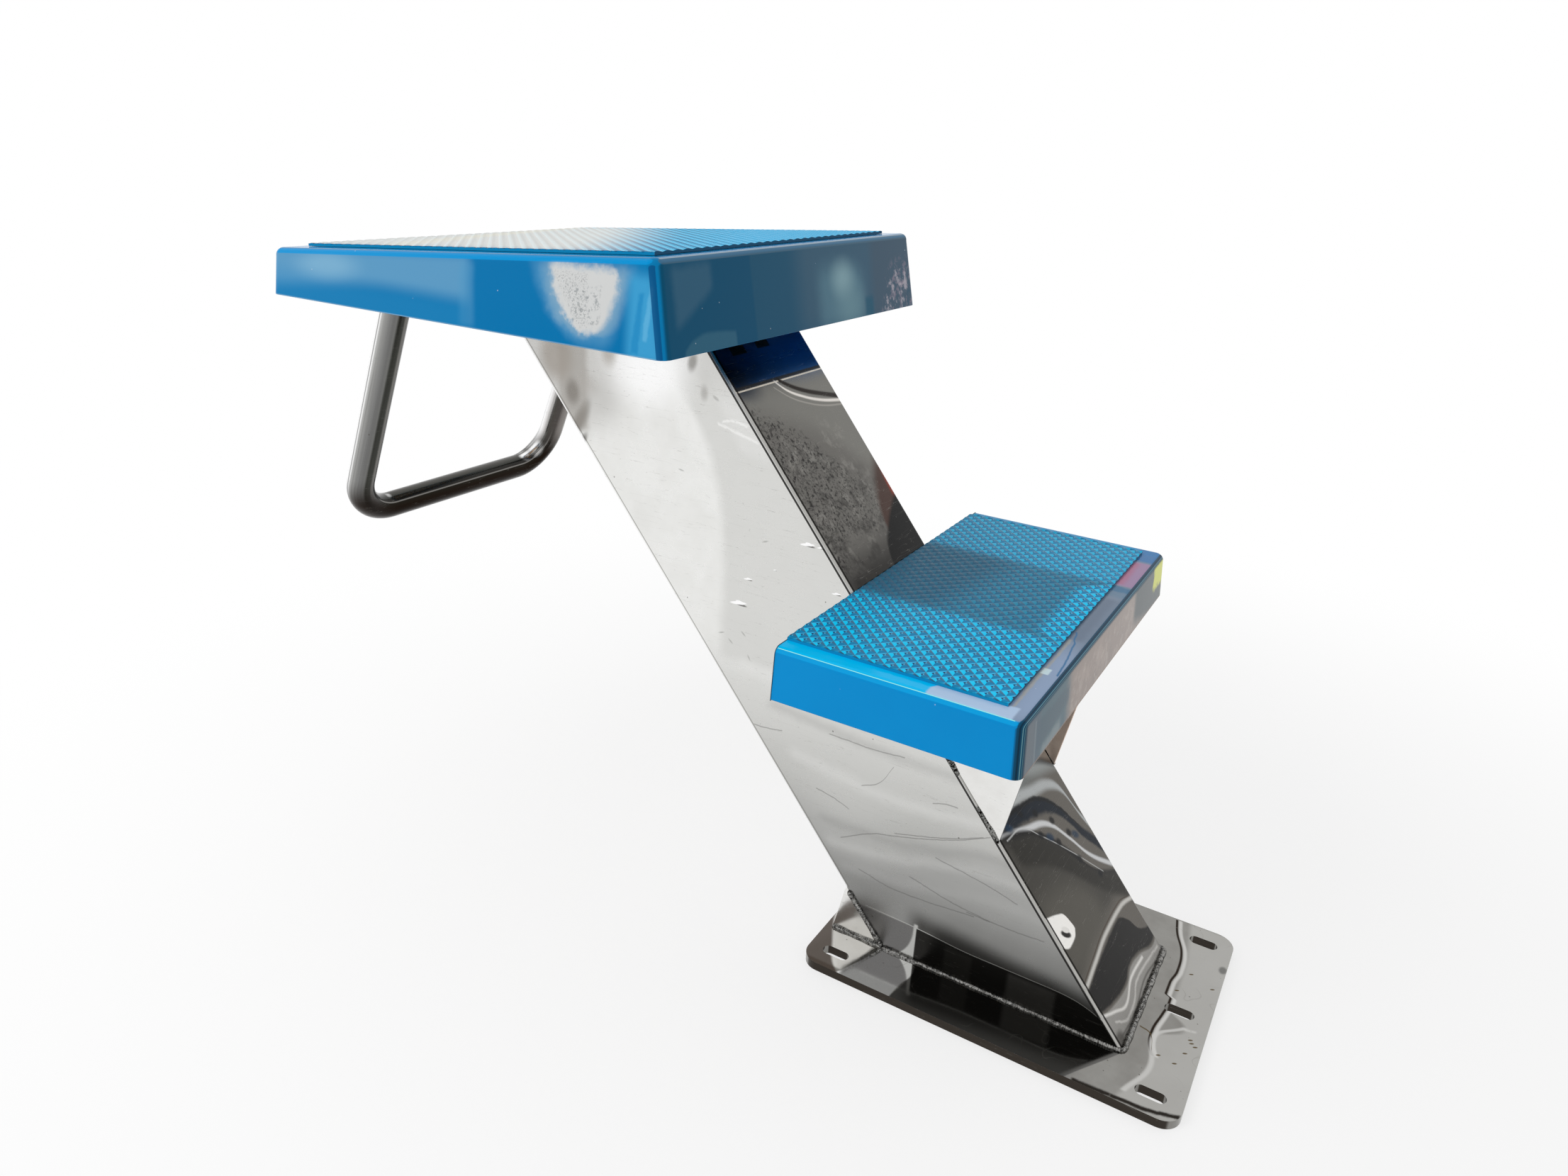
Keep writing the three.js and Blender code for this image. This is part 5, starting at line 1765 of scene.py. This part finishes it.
@dataclass
class Handle:
    """The backstroke handle: one bent tube between two flanges."""

    diameter: float = 31.7
    wall: float = 1.9
    half_spacing: float = 164.5
    bar_height: float = 376.5
    bar_x: float = 842.19
    slant: float = math.radians(22.4)
    bend_radius: float = 55.0
    head_depth: float = 29.9
    bend_steps: int = 18
    sides: int = 48

    def _skin(self, radius: float) -> Array:
        """One skin of the tube as a grid of rings, from the left flange to the right one.

        Round a bend the centre lies at bend radius from its middle and the ring stands square
        to the way there. The legs lie in a plane that slants forward as it goes down, and the
        first and the last ring slide up their leg into the plane under the flanges."""
        leg_up = np.array([-math.sin(self.slant), 0.0, math.cos(self.slant)])
        across = np.array(LEFT)
        normal = np.cross(across, leg_up)
        turn = np.linspace(0.0, math.pi / 2, self.bend_steps + 1)
        turns = np.concatenate([turn, math.pi / 2 + turn])
        inner = self.half_spacing - self.bend_radius
        y = np.where(np.arange(turns.size) <= self.bend_steps, inner, -inner)
        y = y + self.bend_radius * np.cos(turns)
        climb = self.bend_radius * (1.0 - np.sin(turns))
        centre = np.array([self.bar_x, 0.0, self.bar_height]) + (
            y[:, None] * across + climb[:, None] * leg_up)
        outward = np.cos(turns)[:, None] * across - np.sin(turns)[:, None] * leg_up
        angle = np.linspace(0.0, 2.0 * math.pi, self.sides, endpoint=False)
        rings = centre[:, None] + radius * (
            np.cos(angle)[None, :, None] * outward[:, None]
            + np.sin(angle)[None, :, None] * normal)
        heads = rings[[0, -1]]
        fall, slant = math.tan(LAYOUT.deck_slope), math.tan(self.slant)
        rise = LAYOUT.deck_height(heads[..., 0], self.head_depth) - heads[..., 2]
        rise /= 1.0 - fall * slant
        heads = heads + joined(-rise * slant, 0.0, rise)
        return np.concatenate([heads[:1], rings, heads[1:]])

    def _mark_section(self, mesh: Mesh) -> None:
        """Writes the attribute "section": where each point lies round the tube and along it.

        The cosine is taken outwards from the handle's middle and the sine forwards, both square
        to the tube's centre line: a leg's, the bar's, or the bend's arc between them."""
        points = read(mesh.vertices, "co", 3) / MM - np.array([self.bar_x, 0.0, self.bar_height])
        leg_up = np.array([-math.sin(self.slant), 0.0, math.cos(self.slant)])
        forward = points @ np.array([math.cos(self.slant), 0.0, math.sin(self.slant)])
        up, side = points @ leg_up, np.abs(points[:, 1])
        inner = self.half_spacing - self.bend_radius
        over, across = np.minimum(up - self.bend_radius, 0.0), np.maximum(side - inner, 0.0)
        outward = np.where(over < 0.0, np.hypot(over, across), across) - self.bend_radius
        reach = np.maximum(np.hypot(outward, forward), 1e-6)
        along = np.where(over < 0.0, side, up + self.half_spacing) / 1000.0
        section = joined(outward / reach, forward / reach, along)
        attribute = mesh.attributes.new("section", "FLOAT_VECTOR", "POINT")
        attribute.data.foreach_set("vector", section.astype(np.float32).ravel())

    def build(self, finishes: Finishes) -> None:
        """Builds the tube and finishes its flanges."""
        outer, inner = self._skin(self.diameter / 2), self._skin(self.diameter / 2 - self.wall)
        loop = np.concatenate([outer, inner[::-1]])
        mesh = Surface.grid(loop, wrap_rows=True, wrap_columns=True).mesh("handle_tube_bent")
        self._mark_section(mesh)
        place("handle_tube_bent", mesh, finishes.tube, ("handle_tube",),
              Softening(0.0, 0, 40.0))
        bead = WeldBead(radius=2.2)
        for side, name in ((0, "left"), (-1, "right")):
            place_copy(f"handle_flange_{name}", finishes.gusset)
            ring = self._skin(self.diameter / 2 + 0.6)[side]
            weld = bead.surface(ring - np.array([0.0, 0.0, 0.8]), closed=True)
            place(f"handle_weld_{name}", weld.mesh(f"handle_weld_{name}"), finishes.weld,
                  softening=Softening(0.0))


@dataclass
class Fasteners:
    """Bolts and threaded sleeves."""

    groups: Tuple[Tuple[str, int], ...] = (("step", 4), ("platform", 6), ("handle", 4))

    def build(self, finishes: Finishes) -> None:
        """Rounds the bolts' edges and dresses the sleeves."""
        for group, count in self.groups:
            for number in range(1, count + 1):
                place_copy(f"{group}_bolt_{number}", finishes.bolt,
                           Softening(0.35, 2, 30.0))
                keep_node(f"{group}_threaded_sleeve_{number}", finishes.bolt)


# Studio

@dataclass
class Studio:
    """Floor, soft light and camera. Lengths are metres."""

    camera_place: Triple = (-0.2230, 0.9646, 0.8220)
    yaw: float = math.radians(299.81)
    pitch: float = math.radians(-22.66)
    roll: float = math.radians(3.07)
    lens: float = 24.588
    floor_reach: float = 30.0
    floor_gap: float = 0.0002
    floor_white: Triple = (0.65, 0.5, 1.6)
    sky: float = 0.76
    key_power: float = 26.0
    key_size: float = 1.6
    key_place: Triple = (1.9, 2.0, 2.3)
    key_aim: Triple = (0.3, 0.0, 0.4)

    def _world(self) -> None:
        """White for what the camera and reflections see, and a plain level for the light."""
        world = bpy.data.worlds.new("studio")
        world.use_nodes = True
        graph = Graph(world.node_tree)
        back = next(n for n in world.node_tree.nodes if n.type == "BACKGROUND")
        back.inputs["Color"].default_value = (1.0, 1.0, 1.0, 1.0)
        seen = self._seen(graph)
        graph.feed(back.inputs["Strength"], graph.between(seen, self.sky, 1.0))
        bpy.context.scene.world = world

    @staticmethod
    def _seen(graph: Graph) -> Socket:
        """1 for rays from the camera, reflections and transmission, 0 for light that is spread."""
        path = graph.node("ShaderNodeLightPath")
        glossy = graph.math("MAXIMUM", path.outputs["Is Glossy Ray"],
                            path.outputs["Is Transmission Ray"])
        return graph.math("MAXIMUM", path.outputs["Is Camera Ray"], glossy)

    def _floor(self) -> None:
        """A wide pale floor that keeps the shadow near the block and fades to white far off.

        floor_white is the share of white near the middle, and the two distances between which
        it grows to all of it."""
        reach = self.floor_reach / MM
        edge = np.linspace(-reach, reach, 9)
        grid = joined(edge[:, None], edge, -self.floor_gap / MM)
        mesh = Surface.grid(grid[:, ::-1]).mesh("studio_floor")
        floor = put("studio_floor", mesh)
        material, graph, shader, at = start_material("floor_paper")
        shader.inputs["Base Color"].default_value = (0.95, 0.95, 0.95, 1.0)
        shader.inputs["Specular IOR Level"].default_value = 0.0
        grain = graph.noise(at, 40.0, 3.0, 0.5)
        graph.feed(shader.inputs["Roughness"], graph.math("MULTIPLY_ADD", grain, 0.1, 0.9))
        share, near, far = self.floor_white
        white = graph.spread(graph.vector("LENGTH", at), near, far, share, 1.0)
        glow = graph.node("ShaderNodeEmission", {"Color": (1.0, 1.0, 1.0, 1.0), "Strength": 1.0})
        mixed = graph.node("ShaderNodeMixShader", {
            0: graph.math("MULTIPLY", white, self._seen(graph)), 1: shader.outputs[0],
            2: glow.outputs[0]})
        output = next(n for n in material.node_tree.nodes if n.type == "OUTPUT_MATERIAL")
        graph.feed(output.inputs["Surface"], mixed.outputs[0])
        mesh.materials.append(material)

    @staticmethod
    def _stand(name: str, data: bpy.types.ID, spot: Sequence[float], right: Array, up: Array,
               back: Array) -> Piece:
        """Puts a lamp or a camera at a spot, with its own three axes turned as given."""
        turn = np.eye(4)
        turn[:3, 0], turn[:3, 1], turn[:3, 2], turn[:3, 3] = right, up, back, spot
        made = put(name, data)
        made.matrix_world = Matrix(turn.tolist())
        return made

    def _key(self) -> None:
        """Adds the soft square lamp, which looks from its place to its aim."""
        data = bpy.data.lights.new("key", "AREA")
        data.shape = "SQUARE"
        data.size = self.key_size
        data.energy = self.key_power
        back = unit(np.array(self.key_place) - np.array(self.key_aim))
        right = unit(np.cross(UP, back))
        lamp = self._stand("key", data, self.key_place, right, np.cross(back, right), back)
        lamp.visible_glossy = False

    def _camera(self) -> None:
        """The photograph's camera, turned by its yaw, pitch and roll."""
        cos, sin = math.cos(self.pitch), math.sin(self.pitch)
        forward = np.array([math.cos(self.yaw) * cos, math.sin(self.yaw) * cos, sin])
        level = unit(np.array([forward[1], -forward[0], 0.0]))
        above = np.cross(level, forward)
        right = math.cos(self.roll) * level + math.sin(self.roll) * above
        upward = math.cos(self.roll) * above - math.sin(self.roll) * level
        data = bpy.data.cameras.new("photograph")
        data.sensor_fit = "HORIZONTAL"
        data.sensor_width = 36.0
        data.lens = self.lens
        bpy.context.scene.camera = self._stand(
            "photograph", data, self.camera_place, right, upward, -forward)

    def build(self) -> None:
        """Sets up the studio."""
        self._camera()
        self._world()
        self._floor()
        self._key()
        bpy.context.scene.view_settings.view_transform = "Standard"
        log.info("studio: camera, floor, world and key lamp")


def main() -> None:
    """Builds the block and its studio."""
    logging.basicConfig(level=logging.INFO, format="%(name)s: %(message)s")
    Studio().build()
    finishes = Finishes()
    AnchorPlate().build(finishes)
    Column().build(finishes)
    Step().build(finishes)
    Platform().build(finishes)
    Handle().build(finishes)
    Fasteners().build(finishes)
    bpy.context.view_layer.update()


if __name__ == "__main__":
    main()
